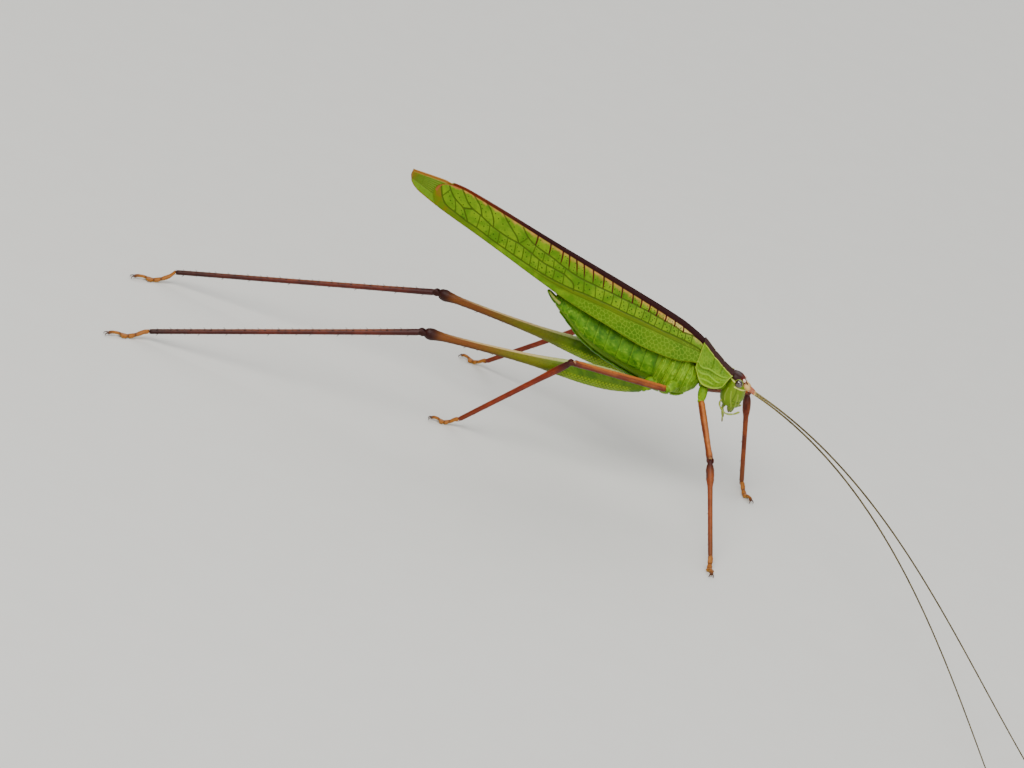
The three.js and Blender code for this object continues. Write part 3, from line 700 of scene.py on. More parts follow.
tegmen = Finish("tegmen", Specular_IOR_Level=0.14, Subsurface_Weight=0.08, Subsurface_Scale=0.0004)
leafy, speck, patchy = tegmen.noise(1.6, 3, 0.6), tegmen.noise(0.16), tegmen.noise(0.42)
peachy = tegmen.blend(tone(184, 136, 52), tone(194, 122, 60), speck)
peachy = tegmen.blend(peachy, tone(218, 184, 100), tegmen.mark("base"))
dark = tegmen.coats(
    tegmen.blend(tone(48, 16, 16), tone(34, 9, 8), speck),
    (tone(96, 34, 10), tegmen.mark("rear") * 0.9),
    # pale: a band along the middle line at the rear, and on the far wing a painted highlight near the base
    (tone(150, 115, 87), tegmen.mark("pale") * 0.6),
)
green = tegmen.coats(
    tegmen.blend(tone(76, 116, 1), tone(112, 145, 6), tegmen.rise(leafy, 0.35, 0.68)),
    (tone(66, 106, 0), tegmen.rise(speck, 0.55, 0.75) * 0.5),
    (peachy, tegmen.mark("peach") * (0.48 + 0.42 * tegmen.rise(patchy, 0.4, 0.6))),
    (tone(84, 100, 2), tegmen.mark("band") * 0.85),
    (tone(128, 74, 22), tegmen.mark("scorch") * tegmen.rise(leafy, 0.44, 0.62) * 0.6),
    (tone(64, 102, 1), tegmen.mark("mesh") * 0.6),
    (tone(122, 158, 26), tegmen.mark("net") * 0.85),
    (tone(38, 66, 0), tegmen.rise(tegmen.mark("pit"), 0.05, 0.5) * 0.92),
    (tone(58, 76, 1), tegmen.rise(tegmen.mark("vein"), 0.12, 0.6) * 0.9),
    (tone(62, 86, 1), tegmen.rise(tegmen.mark("cross"), 0.1, 0.6) * 0.9),
    (tone(68, 20, 2), tegmen.rise(tegmen.mark("brown"), 0.1, 0.5)),
    (tone(148, 76, 39), tegmen.rise(tegmen.mark("arc"), 0.2, 0.6) * 0.8),
    (tone(112, 122, 22), tegmen.mark("rim") * 0.95),
    (dark, tegmen.mark("stripe")),
)
dull = 0.5 + 0.48 * tegmen.mark("stripe")
tegmenMaterial = tegmen.show(green, dull, speck, 0.02, 0.35)
for side, sideName, nodeName in sides:
    front = frontWing("front_wing_" + sideName, side)
    settle(front, tegmenMaterial, "front_wing", "front_wing_" + nodeName)
    print("front wing", sideName, len(front.data.polygons))

hindWing = {
    "root": -10.8,
    "inset": 0.07,
    "columns": 130,
    "rows": (10, 60, 8, 5),
    "folds": 7,
    "margin": [[-10.8, 20.1], [-12.9, 20.6], [-14.6, 21.2], [-15.4, 21.55], [-16.1, 22.15], [-16.33, 22.8]],
}
hindMargin = smooth(hindWing["margin"])


def foldedWing(name, side):
    root, columns, rows = (hindWing[key] for key in ("root", "columns", "rows"))
    sheet, x, flat, s, t, outer = wingSheet(side, fanEnd, root, columns, rows)
    onSide, top, foot, y, z = t > 0, ridgeAt(x), hindMargin(x), sheet[..., 1], sheet[..., 2]
    under = step(-13.0, -12.0, x)
    z = np.where(onSide, lerp(top, foot, (top - z) / np.maximum(top - marginAt(x), 0.05)), z)
    z = z - np.where(onSide, 0.12 * (1 - t), 0.14) * under
    y = y - side * hindWing["inset"] * (1 + 1.2 * under) * np.where(onSide, 1, s)
    sheet = np.stack([x, side * np.maximum(side * y, wing["inner"]), z], axis=-1)
    span = np.maximum(top - foot, 0.3)
    down, folds = t * span, hindWing["folds"]
    lines = [[(-10.5, 2.6 * k / folds), (-16.4, 0.15 + 0.55 * k / folds)] for k in range(1, folds + 1)]
    fold = sum(nearLines(x, down, [line], 0.1) for line in lines)
    links = [[(x0, 0.0), (x0 - 0.25, 2.6)] for x0 in np.arange(-15.6, -11, 0.6)]
    link = nearLines(x, down, links, 0.06) * 0.7
    rim = np.maximum(step(0.22, 0.05, down) * onSide, step(0.16, 0.03, (1 - t) * span) * onSide)
    rim = np.maximum(rim, step(-16.05, -16.3, x))
    rim = np.maximum(rim, 0.5 * step(-15.3, -16.2, x + 0.5 * t))
    lift = 0.035 * np.clip(fold, 0, 1) + 0.02 * link + 0.03 * rim
    raised = sheet + outwards(sheet) * (lift * outer)[..., None] * side
    pale = np.where(onSide, 0, step(0.45, 0.3, s) if side < 0 else 1)
    marks = {"fold": np.clip(fold + 0.5 * link, 0, 1), "rim": np.where(onSide, rim, 1), "pale": pale}
    return skin(name, raised, {key: value * outer for key, value in marks.items()})


fan = Finish(
    "folded wing", Roughness=0.45, Specular_IOR_Level=0.2, Subsurface_Weight=0.1, Subsurface_Scale=0.0004
)
cloud = fan.noise(1.2, 3)
tint = fan.coats(
    fan.blend(tone(80, 122, 2), tone(106, 136, 8), cloud),
    (tone(74, 92, 4), fan.mark("fold") * 0.8),
    (tone(142, 82, 16), fan.mark("rim") * 0.9),
    (tone(190, 150, 92), fan.mark("pale") * 0.9),
)
fanMaterial = fan.show(tint, None, cloud, 0.02, 0.3)
for side, sideName, nodeName in sides:
    settle(foldedWing("hind_wing_" + sideName, side), fanMaterial, "hind_wing", "hind_wing_" + nodeName)
print("hind wings")

abdomen = {
    "top": [[0.9, 16.15], [1.2, 16.15], [3, 16.2], [6, 15.5], [9, 15.4], [12.5, 15.7], [13.2, 15.75]],
    "bottom": [[0.9, 15.35], [1.2, 15.0], [3, 13.65], [5, 12.28], [8, 11.18], [12.5, 10.25], [13.2, 10.3]],
    "half": [[0.9, 0.35], [1.2, 0.55], [3, 1], [6, 1.45], [9, 1.68], [12.5, 1.78], [13.2, 1.7]],
    "pinch": 0.42,
    "seam": [[1, 15.4], [4, 14.2], [6, 13.4], [8, 12.9], [10, 12.5], [12.7, 12.3]],
    "bands": [12.75, 11.55, 10.2, 8.85, 7.5, 6.25, 5.05, 3.95, 2.95, 2.1, 1.45],  # where the plates meet
    "gap": 0.02,
    "lap": 0.16,
    "underLap": 0.1,
    "thick": 0.1,
    "underThick": 0.08,
    "plate": (26, 74, math.radians(-112), math.radians(112)),  # columns, rows, first and last angle
    "underPlate": (14, 26, math.radians(143), math.radians(217)),
}


def trunkSheet(spec, x, angle):
    top, bottom, half = (smooth(spec[key])(x) for key in ("top", "bottom", "half"))
    up = np.cos(angle)
    y = np.sin(angle) * half * (1 - spec["pinch"] * np.maximum(0, up))
    return np.stack([x, y, (top + bottom) / 2 + up * (top - bottom) / 2], axis=-1)


def ringed(x0, x1, columns, rows, first=0.0, last=2 * math.pi):
    x = np.linspace(x0, x1, columns)[:, None] + np.zeros((1, rows))
    angle = np.linspace(first, last, rows)[None, :] + np.zeros((columns, 1))
    return x, angle


def outside(sheet, normal):  # 1 if the normals of a body section point away from its middle, otherwise -1
    middle = (sheet.max(1, keepdims=True) + sheet.min(1, keepdims=True)) / 2
    middle[..., 1] = 0
    return 1 if (normal * (sheet - middle)).sum() > 0 else -1


def shell(name, sheet, lift, thick, marks):  # a curved plate with its relief and its thickness
    normal = outwards(sheet)
    turn = outside(sheet, normal)
    piece = skin(name, sheet + turn * normal * lift[..., None], marks)
    piece.data.update()
    face = piece.data.polygons[len(piece.data.polygons) // 2]
    nearest = np.argmin(np.linalg.norm(sheet.reshape(-1, 3) - np.array(face.center), axis=1))
    if Vector(turn * normal.reshape(-1, 3)[nearest]).dot(face.normal) < 0:
        piece.data.flip_normals()
    return modified(piece, "SOLIDIFY", thickness=thick, offset=-1, use_even_offset=False)


def core(name, spec, low, high, inset, columns, rows, soft=0.35):  # the closed skin of a body section
    x, angle = ringed(low, high, columns, rows)
    sheet = trunkSheet(spec, x, angle)
    middle = sheet.mean(1, keepdims=True)
    size = np.clip(np.minimum((x - low) / soft, (high - x) / soft), 0, 1) ** 0.5
    wrinkle = 0.015 * np.sin(x * 19 + 2 * np.sin(angle * 3))
    return skin(name, middle + (sheet - middle) * size[..., None] * (1 - (inset - wrinkle)[..., None] / 1.5))


belly = Finish(
    "belly skin", Roughness=0.55, Specular_IOR_Level=0.2, Subsurface_Weight=0.1, Subsurface_Scale=0.0005
)
patch = belly.noise(0.7, 3)
skinMaterial = belly.show(belly.blend(tone(74, 114, 3), tone(112, 150, 18), patch), None, patch, 0.04, 0.5)
settle(core("abdomen_skin", abdomen, 1.0, 13.1, 0.1, 90, 48), skinMaterial, "abdomen_green", "abdomen")


def plates(name, deep, light, pale):  # the green of the hard plates
    finish = Finish(
        name, Roughness=0.5, Specular_IOR_Level=0.16, Subsurface_Weight=0.08, Subsurface_Scale=0.0005
    )
    patch, fleck, drop = finish.noise(1.1, 3, 0.65), finish.noise(0.2), finish.noise(0.42, 1)
    tint = finish.coats(
        finish.blend(deep, light, finish.rise(patch, 0.36, 0.64)),
        (tone(36, 80, 0), finish.rise(fleck, 0.56, 0.74) * 0.45),
        (pale, finish.rise(drop, 0.62, 0.7) * 0.55),
        (pale, finish.mark("pale") * 0.75),
        # darker in the grooves and pits: painted shade
        (tone(48, 76, 0), finish.mark("groove") * 0.7),
    )
    return finish.show(tint, None, finish.cells(0.16), 0.012, 0.35)


cuticleMaterial = plates("abdomen plates", tone(48, 96, 0), tone(82, 128, 2), tone(120, 162, 22))
chestMaterial = plates("thorax plates", tone(80, 120, 1), tone(108, 146, 6), tone(140, 180, 34))


def backPlate(name, front, rear):
    x, angle = ringed(front + abdomen["gap"], rear - abdomen["lap"], *abdomen["plate"])
    sheet = trunkSheet(abdomen, x, angle)
    share = (front - x) / (front - rear)
    aboveSeam = sheet[..., 2] - smooth(abdomen["seam"])(x)
    dash = bell(share - 0.55, 0.16) * bell(aboveSeam - 0.75, 0.09)
    wave = bell(aboveSeam - 0.1 * np.sin(share * 6.3), 0.06)
    # a groove at the front of each plate, under the edge of the one before; the plates' finish darkens it as
    # painted shade
    groove = bell(share - 0.12, 0.05)
    flare = 0.03 + 0.042 * np.clip(share, 0, 1.1) ** 2 - 0.03 * step(0.97, 1.1, share)
    lift = flare + 0.02 * wave + 0.02 * dash - 0.02 * groove + 0.008 * np.sin(angle * 23 + x * 9)
    pale = np.clip(0.8 * dash + 0.7 * wave + 0.35 * step(1.0, 1.08, share), 0, 1)
    return shell(name, sheet, lift, abdomen["thick"], {"pale": pale, "groove": groove})


def bellyPlate(name, front, rear):
    x, angle = ringed(front + abdomen["gap"], rear - abdomen["underLap"], *abdomen["underPlate"])
    keel = bell(angle - math.pi, 0.09)
    lift = 0.03 + 0.04 * (front - x) / (front - rear) + 0.03 * keel
    marks = {"pale": 0.4 * keel, "groove": 0}
    return shell(name, trunkSheet(abdomen, x, angle), lift, abdomen["underThick"], marks)


spans = list(zip(abdomen["bands"], abdomen["bands"][1:]))
for n, (front, rear) in enumerate(spans):
    settle(backPlate("tergite_%d" % (n + 1), front, rear), cuticleMaterial, "abdomen_green")
    if 0 < n < len(spans) - 1:
        settle(bellyPlate("sternite_%d" % n, front, rear), cuticleMaterial, "abdomen_green")
print("abdomen")

chest = {
    "top": [[12.3, 15.95], [12.5, 16.1], [14.5, 16.0], [16.2, 15.3], [17.3, 14.5], [17.6, 14.4]],
    "bottom": [[12.3, 10.3], [12.5, 10.2], [14.3, 10.05], [16, 10.5], [17.3, 11.7], [17.6, 11.9]],
    "half": [[12.3, 1.75], [12.5, 1.8], [14.3, 1.92], [16, 1.7], [17.3, 1.2], [17.6, 1.15]],
    "pinch": 0.42,
    # each side plate: its rear and front edge low down, how far its top leans forward, the angles it covers
    "sidePlates": [
        (12.7, 13.55, 0.55, 48, 142),
        (13.65, 14.6, 0.5, 46, 138),
        (14.75, 15.65, 0.45, 50, 140),
        (15.75, 16.75, 0.3, 52, 138),
    ],
    "sideDeep": 3.2,
    "ridge": [(0.25, 0.35), (0.42, 1.1), (0.36, 1.9), (0.6, 2.8)],
    "beads": [(0.2, 0.9, 0.11), (0.62, 1.5, 0.12), (0.24, 2.2, 0.12), (0.55, 2.45, 0.1)],
    "underPlates": [(12.75, 13.9), (14.0, 14.9), (15.05, 16.3)],
    "underHalf": math.radians(30),
    "thick": 0.1,
}
neck = {
    "top": [[17.1, 15.2], [18.6, 14.75], [20.2, 14.3]],
    "bottom": [[17.1, 11.9], [18.4, 12.1], [20.2, 12.7]],
    "half": [[17.1, 1.15], [18.5, 1.2], [20.2, 0.95]],
    "pinch": 0.15,
}


def sidePlate(name, side, rear, front, lean, high, low):
    u, angle = ringed(0, 1, 40, 60, math.radians(high), math.radians(low))
    share = (angle - angle.min()) / (angle.max() - angle.min())
    corner = 0.12 * (np.abs(share - 0.5) * 2) ** 6
    x = lerp(rear + corner, front - corner, u) + lean * (1 - share)
    along, down = u * (front - rear), share * chest["sideDeep"]
    edge = np.minimum(np.minimum(u, 1 - u) * (front - rear), np.minimum(share, 1 - share) * chest["sideDeep"])
    ridge = nearLines(along, down, [throughPoints(chest["ridge"], 5)], 0.1)
    beads = nearSpots(along, down, chest["beads"])
    swell = np.sin(math.pi * u) * np.sin(math.pi * share)
    lift = 0.02 + 0.09 * step(0, 0.14, edge) + 0.05 * ridge + 0.05 * beads + 0.05 * swell
    pale = np.clip(0.75 * step(0.1, 0.03, edge) + 0.7 * ridge + 0.9 * beads, 0, 1)
    return shell(name, trunkSheet(chest, x, side * angle), lift, chest["thick"], {"pale": pale, "groove": 0})


def underPlate(name, rear, front):
    half = chest["underHalf"]
    x, angle = ringed(rear, front, 24, 36, math.radians(150), math.radians(210))
    share = (x - rear) / (front - rear)
    across = (angle - math.pi) / half
    pit = np.exp(-((share - 0.55) ** 2 + (across * 0.6) ** 2) / 0.01)
    swell = (1 - np.abs(across) ** 4) * np.sin(math.pi * np.clip(share, 0.1, 0.9))
    # the pit is darkened through the groove mark, as painted shade
    marks = {"pale": 0.3 * step(0.7, 1, np.abs(across)), "groove": pit}
    return shell(name, trunkSheet(chest, x, angle), 0.03 + 0.08 * swell - 0.08 * pit, chest["thick"], marks)


settle(core("thorax_skin", chest, 12.3, 17.5, 0.05, 70, 60), skinMaterial, "body_green", "pterothorax")
settle(core("neck_skin", neck, 17.15, 20.2, 0.02, 50, 44), skinMaterial, "body_green", "prothorax")
for side, sideName, nodeName in sides:
    for n, plate in enumerate(chest["sidePlates"]):
        settle(sidePlate("side_plate_%s_%d" % (sideName, n + 1), side, *plate), chestMaterial, "body_green")
for n, span in enumerate(chest["underPlates"]):
    settle(underPlate("under_plate_%d" % (n + 1), *span), chestMaterial, "body_green")
print("thorax")

saddle = {
    "rear": 16.45,
    "front": 20.25,
    "slant": 0.6,
    "top": [
        [16.4, 16.95], [16.9, 16.64], [17.6, 16.14], [18.5, 15.58], [19.2, 15.16], [20, 14.78],
        [20.3, 14.66],
    ],
    "foot": [[16.5, 14.4], [17.4, 13.1], [18.4, 12.9], [19.2, 13.12], [20, 13.85]],
    "discHalf": 0.95,
    "discShare": 0.32,
    "discFall": 0.12,
    "lobeHalf": 1.74,
    "thick": 0.13,
    "long": 3.5,
    "deep": 3.1,
    # lines as shares of the way forward and down
    "grooves": [
        [(0.02, 0.83), (0.13, 0.8), (0.26, 0.71), (0.42, 0.64), (0.66, 0.62), (0.9, 0.61)],
        [(0.3, 0.02), (0.36, 0.2), (0.42, 0.38), (0.44, 0.55)],
        [(0.62, 0.04), (0.66, 0.2), (0.7, 0.34), (0.7, 0.5)],
    ],
    "lines": [
        [(0, 0.8), (0.13, 0.765), (0.25, 0.68), (0.4, 0.6), (0.62, 0.585), (0.9, 0.575)],
        [(0.1, 0.92), (0.24, 0.82), (0.4, 0.73), (0.61, 0.75), (0.82, 0.8)],
        [(0.22, 0.97), (0.34, 0.88), (0.5, 0.86), (0.66, 0.88)],
    ],
}


def saddleLines(key):
    size = saddle["long"], saddle["deep"]
    return [throughPoints([(a * size[0], b * size[1]) for a, b in line], 6) for line in saddle[key]]


def pronotum():
    u, v = ringed(0, 1, 90, 190, -1, 1)
    o, disc = np.abs(v), saddle["discShare"]
    onDisc, onLobe = np.minimum(1, o / disc), np.maximum(0, (o - disc) / (1 - disc))
    x = lerp(saddle["rear"], saddle["front"], u) - saddle["slant"] * u * onLobe
    top, foot = smooth(saddle["top"])(x), smooth(saddle["foot"])(x)
    y = onDisc * lerp(saddle["discHalf"], saddle["lobeHalf"], np.sin(onLobe * np.pi / 2))
    fall = saddle["discFall"]
    z = np.where(onLobe > 0, lerp(top - fall, foot, onLobe), top - fall * onDisc**2)
    corner = bell(o - disc, 0.05)
    sheet = np.stack([x, np.sign(v) * (y - 0.05 * corner), z - 0.03 * corner], axis=-1)
    along, down = u * saddle["long"], o * saddle["deep"]
    groove = nearLines(along, down, saddleLines("grooves"), 0.12)
    line = nearLines(along, down, saddleLines("lines"), 0.09)
    rim = np.maximum(step(0.14, 0.05, (1 - u) * saddle["long"]), step(0.16, 0.05, (1 - o) * saddle["deep"]))
    rim = np.maximum(rim, 0.7 * step(0.08, 0.03, along))
    half = np.interp(u, [0, 0.7, 1], [0.25, 0.26, 0.31]) + 0.008 * np.sin(u * 34) * step(0.1, 0.3, u)
    stripe = step(half + 0.02, half - 0.01, o)
    border = bell(o - half - 0.03, 0.018) * step(0, 0.1, u)
    dimple, _ = cellWalls(along, down, 0.3, 0.1, 5)
    lift = 0.06 * rim - 0.06 * groove + 0.04 * line + 0.02 * border + 0.014 * dimple * step(0.3, 0.45, o)
    marks = {
        "stripe": stripe,
        "border": border,
        "groove": groove,
        "pale": np.clip(0.9 * line, 0, 1),
        "rim": rim * (1 - stripe),
        "net": dimple * step(0.3, 0.5, o),
    }
    return shell("pronotum_shield", sheet, lift, saddle["thick"], marks)


shield = Finish("pronotum", Specular_IOR_Level=0.15, Subsurface_Weight=0.08, Subsurface_Scale=0.0005)
patch, fleck = shield.noise(1.1, 3, 0.6), shield.noise(0.2)
base = shield.coats(
    shield.blend(tone(80, 118, 1), tone(106, 142, 4), shield.rise(patch, 0.35, 0.65)),
    (tone(72, 110, 0), shield.rise(fleck, 0.55, 0.75) * 0.5),
    (tone(128, 168, 22), shield.mark("net") * 0.5),
    # darker in the grooves: painted shade
    (tone(64, 96, 0), shield.mark("groove") * 0.6),
    (tone(142, 182, 42), shield.mark("pale") * 0.85),
    (tone(158, 184, 52), shield.mark("rim") * 0.8),
    (tone(196, 206, 76), shield.mark("border") * 0.9),
    (shield.blend(tone(48, 20, 20), tone(64, 38, 32), fleck), shield.mark("stripe")),
)
dull = 0.4 + 0.45 * shield.mark("stripe")
settle(pronotum(), shield.show(base, dull, fleck, 0.02, 0.35), "pronotum", "pronotum")
print("pronotum")

head = {
    "top": 14.86,
    "bottom": 11.2,
    "back": [
        [11.2, 20.15], [11.8, 19.8], [12.5, 19.7], [13.2, 19.76], [13.9, 19.95], [14.45, 20.0],
        [14.86, 20.2],
    ],
    "front": [
        [11.2, 21.85], [12.3, 22.08], [13.1, 22.02], [13.8, 21.85], [14.25, 21.7], [14.55, 21.45],
        [14.86, 20.95],
    ],
    "half": [[11.2, 0.86], [11.8, 1.1], [12.6, 1.2], [13.4, 1.15], [14, 1.0], [14.45, 0.84], [14.86, 0.55]],
    "square": 2.4,
    "crownEdge": [(19.9, 14.4), (20.5, 14.24), (21.0, 14.12), (21.5, 13.97), (22, 13.9)],
    # lines as (z, x) on each side of the face
    "creamLines": [
        [(14.3, 19.95), (14.14, 20.45), (14.0, 20.8)], [(13.62, 20.8), (13.56, 21.2), (13.42, 21.9)],
    ],
    "grooves": [
        [(13.5, 21.1), (12.9, 21.15), (12.2, 21.05), (11.6, 21.0)],
        [(12.1, 22.1), (12.0, 21.6), (11.7, 21.25)],
    ],
    "faceLines": [
        [(13.1, 20.64), (12.3, 20.85), (11.4, 21.2)],
        [(12.95, 21.41), (12.3, 21.5), (11.5, 21.52)],
        [(12.4, 21.75), (11.9, 21.83), (11.45, 21.87)],
        [(13.3, 20.25), (12.5, 20.2), (11.9, 20.35)],
    ],
}
eyes = {"place": (21.08, 0.98, 14.03), "size": (0.39, 0.33, 0.41)}


def headPiece():
    down, angle = ringed(0, 1, 110, 130)
    down = lerp(down, 0.5 - 0.5 * np.cos(np.pi * down), 0.7)
    z = lerp(head["top"], head["bottom"], down)
    back, front, half = (smooth(head[key])(z) for key in ("back", "front", "half"))
    dome = rounded(np.clip(np.minimum(down / 0.06, (1 - down) / 0.05), 0, 1))
    c, s = np.cos(angle), np.sin(angle)
    plump = (np.abs(c) ** head["square"] + np.abs(s) ** head["square"]) ** (-1 / head["square"])
    x = (back + front) / 2 + c * plump * (front - back) / 2 * dome
    y = s * plump * half * dome * (1 - 0.14 * np.maximum(0, c) ** 2 * step(14.2, 12.5, z))
    sheet, wide = np.stack([x, y, z], axis=-1), np.abs(y)
    groove, faceLine, cream = (
        nearLines(z, x, [throughPoints(line, 6) for line in head[key]], width)
        for key, width in (("grooves", 0.1), ("faceLines", 0.09), ("creamLines", 0.1))
    )
    frontal = bell(wide - 0.34, 0.06) * (c > 0.3) * step(13.4, 13.2, z) * step(11.9, 12.1, z)
    clypeus = bell(z - 11.95 - 0.12 * wide, 0.05) * (c > 0.2)
    crown = step(-0.03, 0.05, z - np.interp(x, *zip(*head["crownEdge"])))
    seam = bell(y, 0.05) * step(14.2, 14.6, z)
    eyeX, _, eyeZ = eyes["place"]
    eyeDent = bell(((x - eyeX) / 0.5) ** 2 + ((z - eyeZ) / 0.5) ** 2, 1) * (wide > 0.4)
    lift = -0.05 * groove + 0.03 * faceLine + 0.035 * cream + 0.03 * frontal - 0.05 * clypeus - 0.03 * seam
    lift = lift - 0.06 * eyeDent
    normal = outwards(sheet)
    turn = 1 if normal[len(normal) // 2, 0, 0] > 0 else -1
    raised = sheet + turn * normal * (lift * np.minimum(1, dome * 1.2))[..., None]
    marks = {
        "groove": np.clip(groove + clypeus, 0, 1),
        "pale": np.clip(faceLine + 0.7 * frontal, 0, 1) * (1 - crown),
        "cream": cream * (1 - crown),
        "stripe": crown,
        "maroon": crown * step(20.9, 21.4, x),
    }
    return skin("head_capsule", raised, marks, 0.004)


face = Finish(
    "face", Roughness=0.44, Specular_IOR_Level=0.22, Subsurface_Weight=0.14, Subsurface_Scale=0.0005
)
fleck = face.noise(0.14)
flesh = face.coats(
    face.blend(tone(90, 122, 4), tone(116, 142, 16), face.noise(0.9, 3)),
    (tone(76, 106, 2), face.rise(fleck, 0.55, 0.75) * 0.5),
    # darker in the grooves and along the clypeus line: painted shade
    (tone(66, 86, 2), face.mark("groove") * 0.7),
    (tone(148, 168, 58), face.mark("pale") * 0.8),
    (tone(222, 222, 112), face.mark("cream")),
    (face.blend(tone(46, 18, 12), tone(90, 24, 10), face.mark("maroon")), face.mark("stripe")),
)
settle(headPiece(), face.show(flesh, None, fleck, 0.015, 0.4), "face_green", "head")


def fleshy(name, low, high, tip, roughness, subsurface, grain, depth):  # a soft finish with a darker tip
    finish = Finish(name, Roughness=roughness, Specular_IOR_Level=0.35, Subsurface_Scale=0.0004)
    finish.shader.inputs["Subsurface Weight"].default_value = subsurface
    patch = finish.noise(grain, 3)
    tint = finish.blend(finish.blend(low, high, patch), tip, finish.mark("tip"))
    return finish.show(tint, None, patch, depth, 0.4)


mouthMaterial = fleshy(
    "mouthparts", tone(94, 114, 10), tone(128, 142, 40), tone(72, 22, 8), 0.4, 0.12, 0.35, 0.02
)
palpMaterial = fleshy("palps", tone(120, 140, 30), tone(156, 166, 70), tone(72, 30, 10), 0.4, 0.15, 0.3, 0.015)
creamMaterial = fleshy(
    "cream", tone(188, 150, 84), tone(216, 178, 104), tone(152, 70, 56), 0.38, 0.12, 0.3, 0.015
)

mouth = {
    "place": Vector((21.1, 0, 11.3)),
    "upperLip": [(0, 0.3), (0.08, 0.46), (0.4, 0.5), (0.7, 0.45), (0.92, 0.3), (1.0, 0.12)],
    "lowerLip": [(0, 0.3), (0.1, 0.46), (0.45, 0.44), (0.8, 0.32), (0.9, 0.14)],
    "jaw": [(0, 0.2), (0.1, 0.32), (0.45, 0.3), (0.75, 0.2), (0.95, 0.08), (1.0, 0.03)],
    "palp": [
        (-0.8, 0.6, 0.5), (-1.12, 0.88, 0.32), (-0.94, 1.0, -0.22), (-0.22, 1.04, -0.7),
        (0.55, 0.98, -0.52), (1.1, 0.88, -0.08),
    ],
    "lowerPalp": [(-0.55, 0.3, -0.2), (-0.62, 0.46, -0.7), (-0.38, 0.56, -1.3), (-0.2, 0.58, -1.85)],
}


def alongPiece(piece, low, high):  # 0 before low and 1 past high, along X
    return step(low, high, points(piece)[:, 0])


def palpPath(key, side, steps):
    x, _, z = mouth["place"]
    line = throughPoints([(x + a, side * b, z + c) for a, b, c in mouth[key]], steps)
    return line, np.linspace(0, 1, len(line))


lip = turned("upper_lip", mouth["upperLip"], 20, 0.42)
mark(lip, "tip", 0.6 * alongPiece(lip, 0.8, 1.0))
placed(lip, mouth["place"] + Vector((0.36, 0, 0.15)), Vector((-0.12, 0, -1)).normalized())
settle(lip, mouthMaterial, "face_green", "labrum")
lip = turned("lower_lip", mouth["lowerLip"], 20, 0.5)
mark(lip, "tip", 0)
placed(lip, mouth["place"] + Vector((-0.5, 0, 0.2)), Vector((-0.2, 0, -1)).normalized())
settle(lip, mouthMaterial, "face_green", "labium")
for side, sideName, nodeName in sides:
    jaw = turned("mandible_" + sideName, mouth["jaw"], 14, 0.8)
    mark(jaw, "tip", alongPiece(jaw, 0.55, 0.8))
    start = mouth["place"] + Vector((-0.02, side * 0.62, 0.15))
    end = mouth["place"] + Vector((0.06, side * 0.3, -0.85))
    placed(jaw, start, (end - start).normalized())
    settle(jaw, mouthMaterial, "face_green", "mandible_" + nodeName)
    line, along = palpPath("palp", side, 10)
    knots = (0.5 + 0.5 * np.cos(2 * math.pi * along * 5)) ** 3
    thick = 0.1 - 0.03 * knots + 0.02 * step(0.82, 1, along) - 0.08 * step(0.97, 1, along)
    palp = threadAlong("palp_" + sideName, line, thick, 10)
    mark(palp, "tip", 0)
    settle(palp, palpMaterial, "cream", "palp_" + nodeName)
    line, along = palpPath("lowerPalp", side, 8)
    knots = (0.5 + 0.5 * np.cos(2 * math.pi * along * 3)) ** 3
    palp = threadAlong("lower_palp_" + sideName, line, 0.09 - 0.03 * knots, 8)
    mark(palp, "tip", 0.8 * step(9.9, 9.5, points(palp)[:, 2]))
    settle(palp, palpMaterial, "cream")

eyeball = Finish(
    "eye", Roughness=0.08, Specular_IOR_Level=0.9, Coat_Weight=1.0, Coat_Roughness=0.03, Coat_IOR=1.7
)
deepBrown = eyeball.blend(tone(24, 5, 3), tone(50, 18, 8), eyeball.noise(0.5))
eyeMaterial = eyeball.show(deepBrown, None, eyeball.cells(0.035), 0.002, 0.15)
# the small eyes' pale cream is partly a painted highlight, standing for a glint on the head
pearl = Finish("small eye and painted glint", Roughness=0.15, Coat_Weight=0.5, Coat_Roughness=0.05)
pearlMaterial = pearl.show(pearl.blend(tone(214, 176, 150), tone(236, 214, 190), pearl.noise(0.2)))
for side, sideName, nodeName in sides:
    deselect()
    bpy.ops.mesh.primitive_uv_sphere_add(segments=48, ring_count=32, radius=1)
    ball = named("eye_" + sideName)
    spots = points(ball)
    spots[:, 1] *= 1 - 0.12 * spots[:, 0] ** 2
    x, y, z = eyes["place"]
    setPoints(ball, spots * eyes["size"] + (x, side * y, z))
    settle(smoothed(ball), eyeMaterial, "eye", "eye_" + nodeName)
    deselect()
    bpy.ops.mesh.primitive_torus_add(major_segments=48, minor_segments=10, major_radius=1, minor_radius=0.14)
    ring = named("eye_ring_" + sideName)
    spots = points(ring)[:, [0, 2, 1]] * (eyes["size"][0], 0.4, eyes["size"][2]) * (1.02, 1, 1.02)
    setPoints(ring, spots + (x, side * (y - 0.1), z))
    mark(ring, "tip", 0)
    settle(smoothed(facedOut(ring)), mouthMaterial, "face_green")

